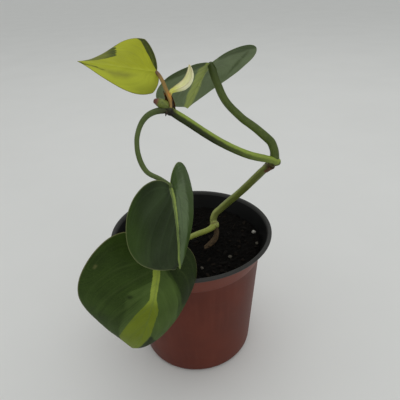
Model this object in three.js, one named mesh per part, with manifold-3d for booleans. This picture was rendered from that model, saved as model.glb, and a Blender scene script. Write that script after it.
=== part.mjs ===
// Potted trailing philodendron: a young vine with four heart-shaped leaves in a small nursery pot.
// Millimetres, +Z up. The origin is the centre of the pot's underside, on the surface that it stands on.
// The plant's front, where the big leaf hangs over the rim, faces -Y.
import * as THREE from 'three';
import { mergeVertices } from 'three/addons/utils/BufferGeometryUtils.js';
import Module from 'manifold-3d';

const wasm = await Module();
wasm.setup();

// ---------------------------------------------------------------- driving dimensions
const GAP = 0.3; // clearance kept between neighbouring pieces

const POT = {
  height: 80, // overall, to the top of the rolled rim
  rimRadius: 45, // outside of the rolled rim
  rimDepth: 1.5, // height of the rolled rim
  footRadius: 29.9, // flat of the underside
  baseRadius: 33.2, // outside of the wall just above the foot rounding
  wall: 0.95,
  floor: 1.1,
  stepRadius: 38.3, // outside of the wall where it steps out into the flared top band
  stepHeight: 67, // height of that step
  flareRadius: 43.3, // outside of the flared band where it meets the rim
  holes: 6,
  holeRadius: 3,
  holeCircle: 21,
  segments: 44,
};
const SOIL_LEVEL = 71;
const BLADE_THICKNESS = 0.7;

// Half outline of a leaf blade, in units of its midrib length: [along the midrib, out from it], from the
// notch where the stalk joins, round the basal lobe, to the tip.
const OUTLINE = [
  [0, 0], [-0.055, 0.022], [-0.135, 0.085], [-0.19, 0.19], [-0.185, 0.31], [-0.115, 0.425], [0.01, 0.51],
  [0.16, 0.55], [0.32, 0.535], [0.48, 0.465], [0.63, 0.355], [0.76, 0.235], [0.865, 0.125], [0.94, 0.05], [1, 0],
];

// Each blade: midrib length, base point, frame at the base (t along the midrib, n out of the upper face),
// width factor of its two halves, size of the basal lobes, droop, sideways bend and twist of the midrib, and
// for each half the fold angle at the midrib [at the base, change to the tip] and the curl across it.
const LEAVES = {
  leaf_1: {
    length: 53.69, base: [-13.11, -51.49, 97.61], t: [-0.1192, -0.6782, -0.7252], n: [0.549, -0.6536, 0.521],
    widthA: 0.777, widthB: 1.102, lobe: 0.94, droop: [1.195, 0.166], bend: 0.179, twist: 0.299,
    foldA: [0.103, -0.035], foldB: [0.126, -0.201], curlA: [-1.101, -3.303], curlB: [-0.45, -0.601],
    colour: 0x3b4a22,
  },
  leaf_2: {
    length: 42.1, base: [-5.19, -53.87, 135.12], t: [0.1197, -0.117, -0.9859], n: [0.7236, -0.6697, 0.1673],
    widthA: 1.003, widthB: 1.179, lobe: 0.749, droop: [0.419, -0.074], bend: 0.096, twist: 0.081,
    foldA: [-0.346, 0.077], foldB: [0.22, 0.024], curlA: [-0.555, -0.002], curlB: [-0.164, -0.135],
    colour: 0x344422,
  },
  leaf_3: {
    length: 48.07, base: [13.65, -0.94, 169.27], t: [-0.219, 0.8472, -0.4841], n: [-0.317, 0.4074, 0.8565],
    widthA: 1.018, widthB: 0.995, lobe: 0.986, droop: [0.273, 0.114], bend: 0.205, twist: -0.069,
    foldA: [-0.079, -0.213], foldB: [0.103, -0.144], curlA: [0.066, -0.217], curlB: [-0.435, 0.08],
    colour: 0x4c5b38,
  },
  leaf_4: {
    length: 31.34, base: [-8.88, -24.21, 171.68], t: [-0.7579, -0.5992, 0.2581], n: [0.6452, -0.6299, 0.4323],
    widthA: 0.536, widthB: 1.006, lobe: 0.33, droop: [0.357, 0.113], bend: -0.213, twist: 0.641,
    foldA: [-0.542, 0.188], foldB: [-0.269, -0.049], curlA: [-0.235, -0.022], curlB: [-0.086, -0.164],
    colour: 0x9a9f38,
  },
};

// Centre lines of the green shoot: from the base knot to the elbow, and from the elbow to the growing knot.
const SHOOT_LOWER = [
  [13.6, 4.1, 77.7], [12.9, 6.2, 80.6], [14.3, 6.8, 84.6], [16.9, 5.9, 87.8], [20.3, 4.4, 92.1], [26.6, 0.4, 100.3],
  [32.3, -4.3, 109.1], [37.7, -8.0, 117.2], [40.3, -9.7, 120.6], [42.6, -11.3, 123.1], [44.3, -12.5, 124.2],
];
const SHOOT_UPPER = [
  [44.3, -12.5, 124.3], [41.9, -13.4, 125.5], [36.2, -15.3, 127.8], [30.2, -17.3, 130.4], [23.5, -19.3, 134.3],
  [16.1, -21.5, 139.4], [9.5, -23.4, 144.7], [3.3, -25.4, 150.2], [-1.8, -27.2, 154.6], [-5.3, -28.6, 157.4],
  [-6.4, -29.1, 158.1],
];
const SHOOT_RADIUS_LOWER = 1.7;
const SHOOT_RADIUS_UPPER = 1.65;
// Swollen knots of the shoot: centre and radius.
const KNOTS = [
  { at: [13.5, 4.6, 78.6], r: 2.15 },
  { at: [43.5, -12.1, 123.9], r: 2.25 },
  { at: [-4.6, -28.4, 157.0], r: 1.95 },
];

// Leaf stalks: centre line from the shoot to the blade, and radius at the foot, middle and blade end.
const STALKS = {
  petiole_1: {
    line: [[12.9, 3.6, 78.4], [10.7, 0.4, 78.7], [7.7, -3.3, 79.7], [4.9, -7.1, 81.3], [2.2, -11.2, 83.0],
      [-0.4, -15.5, 84.8], [-3.4, -21.2, 87.1], [-6.1, -28.5, 90.0], [-8.7, -37.0, 93.0], [-10.9, -44.4, 95.4],
      [-12.97, -51.1, 97.35]],
    radius: [1.45, 1.25, 1.15], colour: 0x8f9c45, leaf: 'leaf_1',
  },
  petiole_2: {
    line: [[-6.2, -29.2, 157.7], [-8.4, -30.3, 157.8], [-10.4, -31.3, 157.7], [-12.3, -32.5, 157.3],
      [-13.9, -33.8, 156.5], [-15.3, -35.5, 155.3], [-16.4, -37.4, 153.7], [-17.1, -39.3, 152.0],
      [-17.5, -41.2, 150.3], [-17.5, -43.1, 148.5], [-17.3, -44.9, 146.8], [-16.8, -46.6, 145.0],
      [-16.0, -48.2, 143.1], [-14.9, -49.5, 141.3], [-13.7, -50.4, 140.0], [-12.2, -51.1, 139.1],
      [-10.5, -51.6, 138.4], [-9.0, -52.1, 137.7], [-7.5, -52.7, 136.8], [-5.55, -53.6, 135.45]],
    radius: [1.25, 1.02, 1.0], colour: 0x46522c, leaf: 'leaf_2',
  },
  petiole_3: {
    line: [[42.9, -12.3, 124.6], [42.8, -11.5, 128.9], [42.2, -10.9, 131.3], [41.1, -10.4, 133.7],
      [39.2, -10.1, 135.7], [36.8, -9.7, 137.9], [34.0, -9.3, 140.4], [31.2, -8.9, 142.6], [27.9, -8.4, 145.1],
      [25.2, -7.7, 147.7], [22.5, -6.9, 150.4], [20.2, -6.0, 153.3], [18.5, -5.1, 156.4], [17.1, -3.9, 159.9],
      [15.8, -2.8, 163.3], [14.9, -1.8, 166.4], [14.0, -1.2, 168.7]],
    radius: [1.95, 1.6, 1.35], colour: 0x4a5626, leaf: 'leaf_3',
  },
  petiole_4: {
    line: [[-4.0, -28.6, 157.2], [-3.9, -28.3, 159.8], [-4.3, -27.6, 161.7], [-4.8, -27.0, 163.2],
      [-5.4, -26.4, 164.7], [-5.9, -25.9, 166.2], [-6.6, -25.3, 167.9], [-7.4, -24.8, 169.6], [-8.2, -24.45, 170.9],
      [-8.7, -24.3, 171.45]],
    radius: [1.25, 0.85, 0.62], colour: 0xa8895c, leaf: 'leaf_4',
  },
};

// The brown cutting: out of the base knot, down into the soil and on to its cut end; then its roots.
const CUTTING = [
  [14.0, 3.7, 76.8], [14.4, 2.4, 74.9], [13.8, -0.2, 73.3], [11.6, -2.7, 71.6], [9.0, -4.8, 70.4], [6.0, -6.9, 68.6],
  [2.6, -9.0, 65.2], [0.4, -10.4, 60.4], [-0.3, -11.0, 54.6],
];
const CUTTING_RADIUS = 1.75;
const ROOTS = [
  [[6.0, -6.9, 68.6], [12, -11, 63], [18, -13, 55], [20, -16, 45], [23, -17, 34]],
  [[2.6, -9.0, 65.2], [-4, -14, 60], [-12, -17, 52], [-16, -16, 42], [-20, -18, 32]],
  [[0.4, -10.4, 60.4], [3, -3, 53], [5, 7, 46], [4, 15, 36], [6, 20, 25]],
  [[0.4, -10.4, 60.4], [-6, -5, 52], [-13, 3, 44], [-17, 10, 33], [-18, 14, 22]],
  [[-0.3, -11.0, 54.6], [3, -14, 46], [5, -18, 36], [4, -20, 26], [7, -19, 17]],
];
const ROOT_RADIUS = 0.75;

// White perlite grains on the soil: place on the soil and size.
const PERLITE = [
  { at: [36.5, 5.9], r: 1.25, turn: 0.4 },
  { at: [36.6, -5.3], r: 1.0, turn: 1.3 },
  { at: [5.1, -24.6], r: 0.9, turn: 2.2 },
  { at: [20.5, -16.4], r: 1.0, turn: 3.1 },
];

// ---------------------------------------------------------------- helpers
const v3 = (p) => new THREE.Vector3(p[0], p[1], p[2]);
const curveOf = (pts) => new THREE.CatmullRomCurve3(pts.map(v3), false, 'centripetal');

// Only positions, shared corners merged, and no collapsed triangles.
function clean(geometry, tolerance = 1e-4) {
  const g = geometry.clone();
  for (const name of Object.keys(g.attributes)) if (name !== 'position') g.deleteAttribute(name);
  const m = mergeVertices(g, tolerance);
  const index = m.index.array;
  const keep = [];
  for (let i = 0; i < index.length; i += 3) {
    const [a, b, c] = [index[i], index[i + 1], index[i + 2]];
    if (a !== b && b !== c && c !== a) keep.push(a, b, c);
  }
  m.setIndex(keep);
  return m;
}
function solid(geometry) {
  const g = clean(geometry);
  return new wasm.Manifold(new wasm.Mesh({
    numProp: 3,
    vertProperties: new Float32Array(g.attributes.position.array),
    triVerts: new Uint32Array(g.index.array),
  }));
}
function geometryOf(manifold) {
  const mesh = manifold.getMesh();
  const g = new THREE.BufferGeometry();
  g.setAttribute('position', new THREE.BufferAttribute(new Float32Array(mesh.vertProperties), 3));
  g.setIndex(Array.from(mesh.triVerts));
  g.computeVertexNormals();
  return g;
}
const union = (list) => list.map(solid).reduce((a, b) => a.add(b));

// A section extruded along a centre line and scaled from step to step by radiusAt(0..1).
function sweep(points, section, steps, radiusAt) {
  const curve = curveOf(points);
  const g = new THREE.ExtrudeGeometry(section, { steps, bevelEnabled: false, extrudePath: curve });
  const centres = curve.getSpacedPoints(steps);
  const { tangents } = curve.computeFrenetFrames(steps, false);
  const pos = g.attributes.position;
  const v = new THREE.Vector3();
  const d = new THREE.Vector3();
  for (let i = 0; i < pos.count; i++) {
    v.fromBufferAttribute(pos, i);
    let best = 0;
    let bestError = Infinity;
    for (let s = 0; s <= steps; s++) {
      d.subVectors(v, centres[s]);
      const length = d.length();
      if (length > 1.02) continue;
      const error = Math.abs(d.dot(tangents[s]));
      if (error < bestError) { bestError = error; best = s; }
    }
    d.subVectors(v, centres[best]).multiplyScalar(radiusAt(best / steps));
    v.copy(centres[best]).add(d);
    pos.setXYZ(i, v.x, v.y, v.z);
  }
  return g;
}
function ring(sides) {
  const pts = [];
  for (let i = 0; i < sides; i++) {
    const a = (2 * Math.PI * i) / sides;
    pts.push(new THREE.Vector2(Math.cos(a), Math.sin(a)));
  }
  return new THREE.Shape(pts);
}
// A channel section of unit radius: an arc `span` wide about `facing`, `inner` of the radius inside.
function channel(points, steps, facing, span, inner, sides) {
  const curve = curveOf(points);
  const frames = curve.computeFrenetFrames(steps, false);
  const f = v3(facing);
  const mid = Math.atan2(f.dot(frames.binormals[0]), f.dot(frames.normals[0]));
  const pts = [];
  for (let i = 0; i <= sides; i++) {
    const a = mid + span * (i / sides - 0.5);
    pts.push(new THREE.Vector2(Math.cos(a), Math.sin(a)));
  }
  for (let i = sides; i >= 0; i--) {
    const a = mid + span * (i / sides - 0.5);
    pts.push(new THREE.Vector2(inner * Math.cos(a), inner * Math.sin(a)));
  }
  return new THREE.Shape(pts);
}
// Linear blend through equally spaced values.
function through(values) {
  return (t) => {
    const x = Math.min(t, 0.999999) * (values.length - 1);
    const i = Math.floor(x);
    return values[i] + (values[i + 1] - values[i]) * (x - i);
  };
}
// The same centre line with both ends moved out by d.
function lengthened(points, d) {
  const out = points.map(v3);
  const move = (end, next) => out[end].addScaledVector(out[end].clone().sub(out[next]).normalize(), d);
  move(0, 1);
  move(out.length - 1, out.length - 2);
  return out.map((p) => p.toArray());
}
function ball(at, r, detail = 10) {
  const g = new THREE.SphereGeometry(r, detail, Math.round(detail * 0.7));
  g.translate(at[0], at[1], at[2]);
  return g;
}

// ---------------------------------------------------------------- leaf blades
function outlineAt(w) {
  const n = OUTLINE.length;
  const x = Math.min(Math.max(w, 0), 1) * (n - 1);
  const i = Math.min(Math.floor(x), n - 2);
  const f = x - i;
  const at = (k) => {
    if (k < 0) return [2 * OUTLINE[0][0] - OUTLINE[1][0], 2 * OUTLINE[0][1] - OUTLINE[1][1]];
    if (k > n - 1) return [2 * OUTLINE[n - 1][0] - OUTLINE[n - 2][0], 2 * OUTLINE[n - 1][1] - OUTLINE[n - 2][1]];
    return OUTLINE[k];
  };
  const [p0, p1, p2, p3] = [at(i - 1), at(i), at(i + 1), at(i + 2)];
  return [0, 1].map((c) => 0.5 * (2 * p1[c] + (p2[c] - p0[c]) * f + (2 * p0[c] - 5 * p1[c] + 4 * p2[c] - p3[c]) * f * f
    + (3 * p1[c] - p0[c] - 3 * p2[c] + p3[c]) * f * f * f));
}
// Point and normal of the blade's middle surface: s along the midrib and v out from it, in midrib lengths.
function bladeSurface(leaf) {
  const t0 = v3(leaf.t).normalize();
  const n0 = v3(leaf.n);
  n0.addScaledVector(t0, -n0.dot(t0)).normalize();
  const b0 = new THREE.Vector3().crossVectors(n0, t0);
  const step = 0.01;
  const first = -40;
  const last = 102;
  const frames = [];
  for (let k = first; k <= last; k++) {
    const g = k * step;
    const al = leaf.droop[0] * g + leaf.droop[1] * g * g * Math.sign(g);
    const be = leaf.bend * g;
    const t = new THREE.Vector3(Math.cos(al) * Math.cos(be), Math.sin(be), -Math.sin(al) * Math.cos(be));
    const b = new THREE.Vector3(-Math.cos(al) * Math.sin(be), Math.cos(be), Math.sin(al) * Math.sin(be));
    const n = new THREE.Vector3().crossVectors(t, b);
    const tw = leaf.twist * g;
    const b2 = b.clone().multiplyScalar(Math.cos(tw)).addScaledVector(n, Math.sin(tw));
    const n2 = n.clone().multiplyScalar(Math.cos(tw)).addScaledVector(b, -Math.sin(tw));
    frames.push({ t, b: b2, n: n2, m: new THREE.Vector3() });
  }
  for (let k = 1; k < frames.length; k++) {
    frames[k].m.copy(frames[k - 1].m).addScaledVector(frames[k - 1].t.clone().add(frames[k].t), 0.5 * step);
  }
  const origin = frames[-first].m.clone();
  for (const f of frames) f.m.sub(origin);
  const base = v3(leaf.base);
  const toWorld = (p) => new THREE.Vector3().addScaledVector(t0, p.x).addScaledVector(b0, p.y).addScaledVector(n0, p.z);
  return (s, v, side) => {
    const x = Math.min(Math.max(s / step - first, 0), frames.length - 1.001);
    const i = Math.floor(x);
    const f = x - i;
    const mix = (key) => frames[i][key].clone().lerp(frames[i + 1][key], f);
    const [m, b, n] = [mix('m'), mix('b').normalize(), mix('n').normalize()];
    const fold = side > 0 ? leaf.foldA : leaf.foldB;
    const curl = side > 0 ? leaf.curlA : leaf.curlB;
    const ph = fold[0] + fold[1] * s;
    let c = curl[0] + curl[1] * s;
    if (Math.abs(c) < 1e-4) c = 1e-4;
    const a = (Math.sin(ph + c * v) - Math.sin(ph)) / c;
    const h = (Math.cos(ph) - Math.cos(ph + c * v)) / c;
    const p = m.addScaledVector(b, side * a).addScaledVector(n, h);
    const turn = ph + c * v;
    const normal = n.clone().multiplyScalar(Math.cos(turn)).addScaledVector(b, -side * Math.sin(turn));
    return { point: toWorld(p).multiplyScalar(leaf.length).add(base), normal: toWorld(normal) };
  };
}
// A flattened sphere whose equator is laid on the outline: one closed blade, thinning to its edge.
function blade(leaf, thickness, grow = 0, around = 28, rings = 8) {
  const surface = bladeSurface(leaf);
  const centre = 0.3;
  const g = new THREE.SphereGeometry(1, around, rings);
  const pos = g.attributes.position;
  for (let i = 0; i < pos.count; i++) {
    const [x, y, z] = [pos.getX(i), pos.getY(i), pos.getZ(i)];
    const rad = Math.min(1, Math.hypot(x, z));
    let u = Math.atan2(z, -x) / (2 * Math.PI);
    if (u < 0) u += 1;
    if (u > 0.9999999 || rad < 1e-6) u = 0;
    const side = u <= 0.5 ? -1 : 1;
    const w = u <= 0.5 ? 2 * u : 2 - 2 * u;
    let [s, v] = outlineAt(w);
    if (s < 0) s *= leaf.lobe;
    v *= side > 0 ? leaf.widthA : leaf.widthB;
    const out = rad * (1 + grow / (centre * leaf.length));
    s = centre + out * (s - centre);
    v = Math.max(0, out * v);
    const { point, normal } = surface(s, v, side);
    const half = (thickness / 2 + grow) * Math.sqrt(Math.max(0, 1 - rad ** 4));
    point.addScaledVector(normal, Math.sign(y) * half);
    pos.setXYZ(i, point.x, point.y, point.z);
  }
  return g;
}

// ---------------------------------------------------------------- shoot, cutting and stalks
function shootParts(grow = 0) {
  return [
    sweep(lengthened(SHOOT_LOWER, grow), ring(8), 24, () => SHOOT_RADIUS_LOWER + grow),
    sweep(lengthened(SHOOT_UPPER, grow), ring(8), 20, () => SHOOT_RADIUS_UPPER + grow),
    ...KNOTS.map((k) => ball(k.at, k.r + grow)),
  ];
}
function stalk(p, grow = 0, sides = 8, steps = 18) {
  const r = through(p.radius);
  return sweep(lengthened(p.line, grow), ring(sides), steps, (t) => r(t) + grow);
}
function cuttingParts(grow = 0) {
  const r = through([1.5, 1.7, 1.75, 1.75, 1.7]);
  return [
    sweep(lengthened(CUTTING, grow), ring(8), 14, (t) => r(t) + grow),
    ...ROOTS.map((line) => sweep(lengthened(line, grow), ring(5), 6, (t) => ROOT_RADIUS * (1 - 0.55 * t) + grow)),
  ];
}
const shoot = union(shootParts());
const shootGrown = union(shootParts(GAP));
const cuttingGrown = union(cuttingParts(GAP));
const bladesGrown = Object.fromEntries(
  Object.entries(LEAVES).map(([name, leaf]) => [name, solid(blade(leaf, BLADE_THICKNESS, GAP))]),
);

const pieces = [];
function add(name, geometry, colour, roughness) {
  const mesh = new THREE.Mesh(geometry, new THREE.MeshStandardMaterial({ color: colour, roughness, metalness: 0 }));
  mesh.name = name;
  pieces.push(mesh);
}

// ---------------------------------------------------------------- pot
{
  const top = POT.height;
  const w = POT.wall;
  const R = POT.rimRadius;
  const z1 = top - POT.rimDepth; // underside of the rolled rim
  const profile = [
    [0, 0], [POT.footRadius, 0], [31.5, 0.45], [32.65, 1.5], [POT.baseRadius, 3.2],
    [POT.stepRadius, POT.stepHeight - 0.6], [POT.stepRadius + 0.6, POT.stepHeight + 0.6], [POT.flareRadius, z1 - 0.2],
    [R - 0.4, z1], [R, z1 + 0.4], [R, top - 0.5], [R - 0.5, top], [R - 1.6, top], [R - 2.3, top - 0.6],
    [POT.flareRadius - w - 0.1, z1 - 0.2], [POT.stepRadius + 0.5 - w, POT.stepHeight + 0.7], [POT.stepRadius - w, POT.stepHeight - 0.5],
    [POT.baseRadius - w, 3.4], [31.75, 2.25], [30.8, 1.4], [29.5, POT.floor], [0, POT.floor],
  ].map((p) => new THREE.Vector2(p[0], p[1]));
  const lathe = new THREE.LatheGeometry(profile, POT.segments);
  lathe.rotateX(Math.PI / 2);
  let pot = solid(lathe);
  for (let i = 0; i < POT.holes; i++) {
    const a = ((i + 0.5) * 2 * Math.PI) / POT.holes;
    const hole = new THREE.CylinderGeometry(POT.holeRadius, POT.holeRadius, 6, 12);
    hole.rotateX(Math.PI / 2);
    hole.translate(POT.holeCircle * Math.cos(a), POT.holeCircle * Math.sin(a), 0.5);
    pot = pot.subtract(solid(hole));
  }
  add('pot', geometryOf(pot), 0x5a3128, 0.55);
}

// ---------------------------------------------------------------- soil
const soilHeight = (x, y) => SOIL_LEVEL
  + 0.32 * Math.sin(0.31 * x + 1.1) * Math.cos(0.27 * y - 0.4) + 0.22 * Math.sin(0.73 * x - 0.5 * y + 0.8);
{
  const rings = [0, 8, 16, 24, 32];
  const profile = [
    [0, 1.45], [29.3, 1.45], [30.55, 1.75], [31.4, 2.5], [31.85, 3.6], [36.85, 66.2], [37.35, 67.9], [38.3, 70.1],
    [37.6, SOIL_LEVEL - 0.2], ...rings.slice().reverse().map((r) => [r, SOIL_LEVEL]),
  ].map((p) => new THREE.Vector2(p[0], p[1]));
  const lathe = new THREE.LatheGeometry(profile, 36);
  lathe.rotateX(Math.PI / 2);
  const pos = lathe.attributes.position;
  for (let i = 0; i < pos.count; i++) {
    if (pos.getZ(i) > SOIL_LEVEL - 0.01) pos.setZ(i, soilHeight(pos.getX(i), pos.getY(i)));
  }
  let soil = solid(lathe).subtract(cuttingGrown);
  PERLITE.forEach((p, i) => {
    const z = soilHeight(p.at[0], p.at[1]) + 0.25 * p.r;
    const make = (grow) => {
      const g = new THREE.IcosahedronGeometry(p.r + grow, 1);
      g.scale(1, 0.85, 0.75);
      g.rotateZ(p.turn);
      g.translate(p.at[0], p.at[1], z);
      return g;
    };
    soil = soil.subtract(solid(make(GAP)));
    add(`perlite_${i + 1}`, clean(make(0)), 0xc9c7bf, 0.9);
  });
  add('potting_soil', geometryOf(soil), 0x14100c, 0.95);
}

// ---------------------------------------------------------------- plant
add('vine_stem', geometryOf(shoot), 0x75853a, 0.45);
add('old_cutting', geometryOf(union(cuttingParts()).subtract(shootGrown)), 0x6b5233, 0.85);

const stalkSolids = {};
for (const [name, p] of Object.entries(STALKS)) {
  let body = solid(stalk(p)).subtract(shootGrown).subtract(bladesGrown[p.leaf]);
  if (name === 'petiole_4') body = body.subtract(solid(stalk(STALKS.petiole_2, GAP)));
  if (name === 'petiole_1') body = body.subtract(cuttingGrown);
  stalkSolids[name] = body;
  add(name, geometryOf(body), p.colour, 0.5);
}
for (const [name, leaf] of Object.entries(LEAVES)) {
  add(name, clean(blade(leaf, BLADE_THICKNESS)), leaf.colour, 0.4);
}

// Pale boat-shaped sheath that held the newest leaf: a channel open to the inside of its curve.
const CATAPHYLL = [
  [-3.5, -26.9, 163.9], [-2.35, -26.45, 164.3], [-0.69, -26.13, 164.9], [0.98, -25.9, 165.72], [2.46, -25.27, 166.81],
  [3.57, -24.4, 168.35], [4.16, -23.42, 170.08], [4.38, -22.22, 171.79], [4.27, -21.01, 173.32],
];
const CATAPHYLL_WIDTH = [0.75, 1.35, 1.85, 2.1, 2.1, 1.85, 1.5, 1.05, 0.3];
const stalk4Grown = solid(stalk(STALKS.petiole_4, GAP));
const stalk2Grown = solid(stalk(STALKS.petiole_2, GAP));
{
  const width = through(CATAPHYLL_WIDTH);
  const section = channel(CATAPHYLL, 10, [0.35, 0.25, -1], 3.5, 0.72, 6);
  const body = solid(sweep(CATAPHYLL, section, 10, width)).subtract(stalk4Grown);
  add('cataphyll', geometryOf(body), 0xd6d49b, 0.5);
}
// Dried wing at the foot of the newest stalk: a channel wrapped round the stalk.
{
  const line = STALKS.petiole_4.line.slice(0, 5);
  const section = channel(line, 5, [0.2, -0.9, 0.1], 3.9, 0.84, 7);
  const body = solid(sweep(line, section, 5, through([2.3, 2.2, 2.0, 1.8, 1.5])))
    .subtract(stalk4Grown).subtract(shootGrown).subtract(stalk2Grown)
    .subtract(solid(sweep(lengthened(CATAPHYLL, GAP), ring(8), 10, (t) => through(CATAPHYLL_WIDTH)(t) + GAP)));
  add('dried_sheath', geometryOf(body), 0x6b4322, 0.8);
}
// Dried ring at the elbow: a channel round the end of the lower internode.
{
  const line = [[38.9, -8.8, 118.8], [40.3, -9.7, 120.6], [41.5, -10.6, 121.9]];
  const section = channel(line, 3, [0.6, 0.35, -0.7], 4.2, 0.8, 8);
  const body = solid(sweep(line, section, 3, through([2.35, 2.6, 2.75]))).subtract(shootGrown)
    .subtract(solid(stalk(STALKS.petiole_3, GAP)));
  add('dried_collar', geometryOf(body), 0x4f3320, 0.85);
}
// Side bud at the growing knot, above the foot of the looped stalk.
{
  const line = [[-6.2, -28.9, 159.5], [-7.1, -29.1, 159.9], [-8.45, -29.03, 160.6], [-9.97, -29.05, 161.3]];
  const body = solid(sweep(line, ring(8), 6, through([1.5, 1.75, 1.65, 1.2, 0.35]))).subtract(shootGrown)
    .subtract(stalk2Grown).subtract(stalk4Grown)
    .subtract(solid(sweep(STALKS.petiole_4.line.slice(0, 5), ring(10), 5, (t) => through([2.3, 2.2, 2.0, 1.8, 1.5])(t) + GAP)));
  add('axillary_bud', geometryOf(body), 0x7b8a3a, 0.55);
}
// Root point under the growing knot.
{
  const line = [[-5.8, -29.6, 156.9], [-6.0, -30.9, 156.3], [-6.2, -32.1, 155.6]];
  const body = solid(sweep(line, ring(6), 4, through([0.6, 0.45, 0.12]))).subtract(shootGrown).subtract(stalk2Grown);
  add('aerial_root', geometryOf(body), 0x3a2a1c, 0.8);
}

const plant = new THREE.Group();
for (const mesh of pieces) plant.add(mesh);
export default plant;
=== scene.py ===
import math
import bpy
import bmesh
import numpy as np
from mathutils import Matrix, Vector


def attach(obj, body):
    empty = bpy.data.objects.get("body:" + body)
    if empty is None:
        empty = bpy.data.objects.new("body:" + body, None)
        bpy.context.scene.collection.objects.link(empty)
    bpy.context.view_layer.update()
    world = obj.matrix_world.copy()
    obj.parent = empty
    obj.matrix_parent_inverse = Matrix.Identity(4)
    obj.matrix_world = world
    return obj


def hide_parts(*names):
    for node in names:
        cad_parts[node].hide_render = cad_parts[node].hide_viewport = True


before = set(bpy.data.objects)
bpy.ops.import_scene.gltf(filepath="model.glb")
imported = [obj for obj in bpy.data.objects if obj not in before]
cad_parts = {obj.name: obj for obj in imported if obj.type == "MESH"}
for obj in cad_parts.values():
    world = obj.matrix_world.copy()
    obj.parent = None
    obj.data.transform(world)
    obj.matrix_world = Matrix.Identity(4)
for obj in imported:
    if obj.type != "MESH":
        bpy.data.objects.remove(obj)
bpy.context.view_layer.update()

MM = 0.001


# ------------------------------------------------------------------ numbers shared with the CAD model (mm)
OUTLINE = np.array([
    (0, 0), (-0.055, 0.022), (-0.135, 0.085), (-0.19, 0.19), (-0.185, 0.31), (-0.115, 0.425), (0.01, 0.51),
    (0.16, 0.55), (0.32, 0.535), (0.48, 0.465), (0.63, 0.355), (0.76, 0.235), (0.865, 0.125), (0.94, 0.05), (1, 0)])
LEAVES = {
    "leaf_1": dict(length=53.69, base=(-13.11, -51.49, 97.61), t=(-0.1192, -0.6782, -0.7252), n=(0.549, -0.6536, 0.521),
                   width=(0.777, 1.102), lobe=0.94, droop=(1.195, 0.166), bend=0.179, twist=0.299,
                   fold=((0.103, -0.035), (0.126, -0.201)), curl=((-1.101, -3.303), (-0.45, -0.601))),
    "leaf_2": dict(length=42.1, base=(-5.19, -53.87, 135.12), t=(0.1197, -0.117, -0.9859), n=(0.7236, -0.6697, 0.1673),
                   width=(1.003, 1.179), lobe=0.749, droop=(0.419, -0.074), bend=0.096, twist=0.081,
                   fold=((-0.346, 0.077), (0.22, 0.024)), curl=((-0.555, -0.002), (-0.164, -0.135))),
    "leaf_3": dict(length=48.07, base=(13.65, -0.94, 169.27), t=(-0.219, 0.8472, -0.4841), n=(-0.317, 0.4074, 0.8565),
                   width=(1.018, 0.995), lobe=0.986, droop=(0.273, 0.114), bend=0.205, twist=-0.069,
                   fold=((-0.079, -0.213), (0.103, -0.144)), curl=((0.066, -0.217), (-0.435, 0.08))),
    "leaf_4": dict(length=31.34, base=(-8.88, -24.21, 171.68), t=(-0.7579, -0.5992, 0.2581), n=(0.6452, -0.6299, 0.4323),
                   width=(0.536, 1.006), lobe=0.33, droop=(0.357, 0.113), bend=-0.213, twist=0.641,
                   fold=((-0.542, 0.188), (-0.269, -0.049)), curl=((-0.235, -0.022), (-0.086, -0.164))),
}
SHOOT_LOWER = [
    (13.6, 4.1, 77.7), (12.9, 6.2, 80.6), (14.3, 6.8, 84.6), (16.9, 5.9, 87.8), (20.3, 4.4, 92.1), (26.6, 0.4, 100.3),
    (32.3, -4.3, 109.1), (37.7, -8.0, 117.2), (40.3, -9.7, 120.6), (42.6, -11.3, 123.1), (44.3, -12.5, 124.2)]
SHOOT_UPPER = [
    (44.3, -12.5, 124.3), (41.9, -13.4, 125.5), (36.2, -15.3, 127.8), (30.2, -17.3, 130.4), (23.5, -19.3, 134.3),
    (16.1, -21.5, 139.4), (9.5, -23.4, 144.7), (3.3, -25.4, 150.2), (-1.8, -27.2, 154.6), (-5.3, -28.6, 157.4),
    (-6.4, -29.1, 158.1)]
KNOTS = [((13.5, 4.6, 78.6), 2.15), ((43.5, -12.1, 123.9), 2.25), ((-4.6, -28.4, 157.0), 1.95)]
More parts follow.
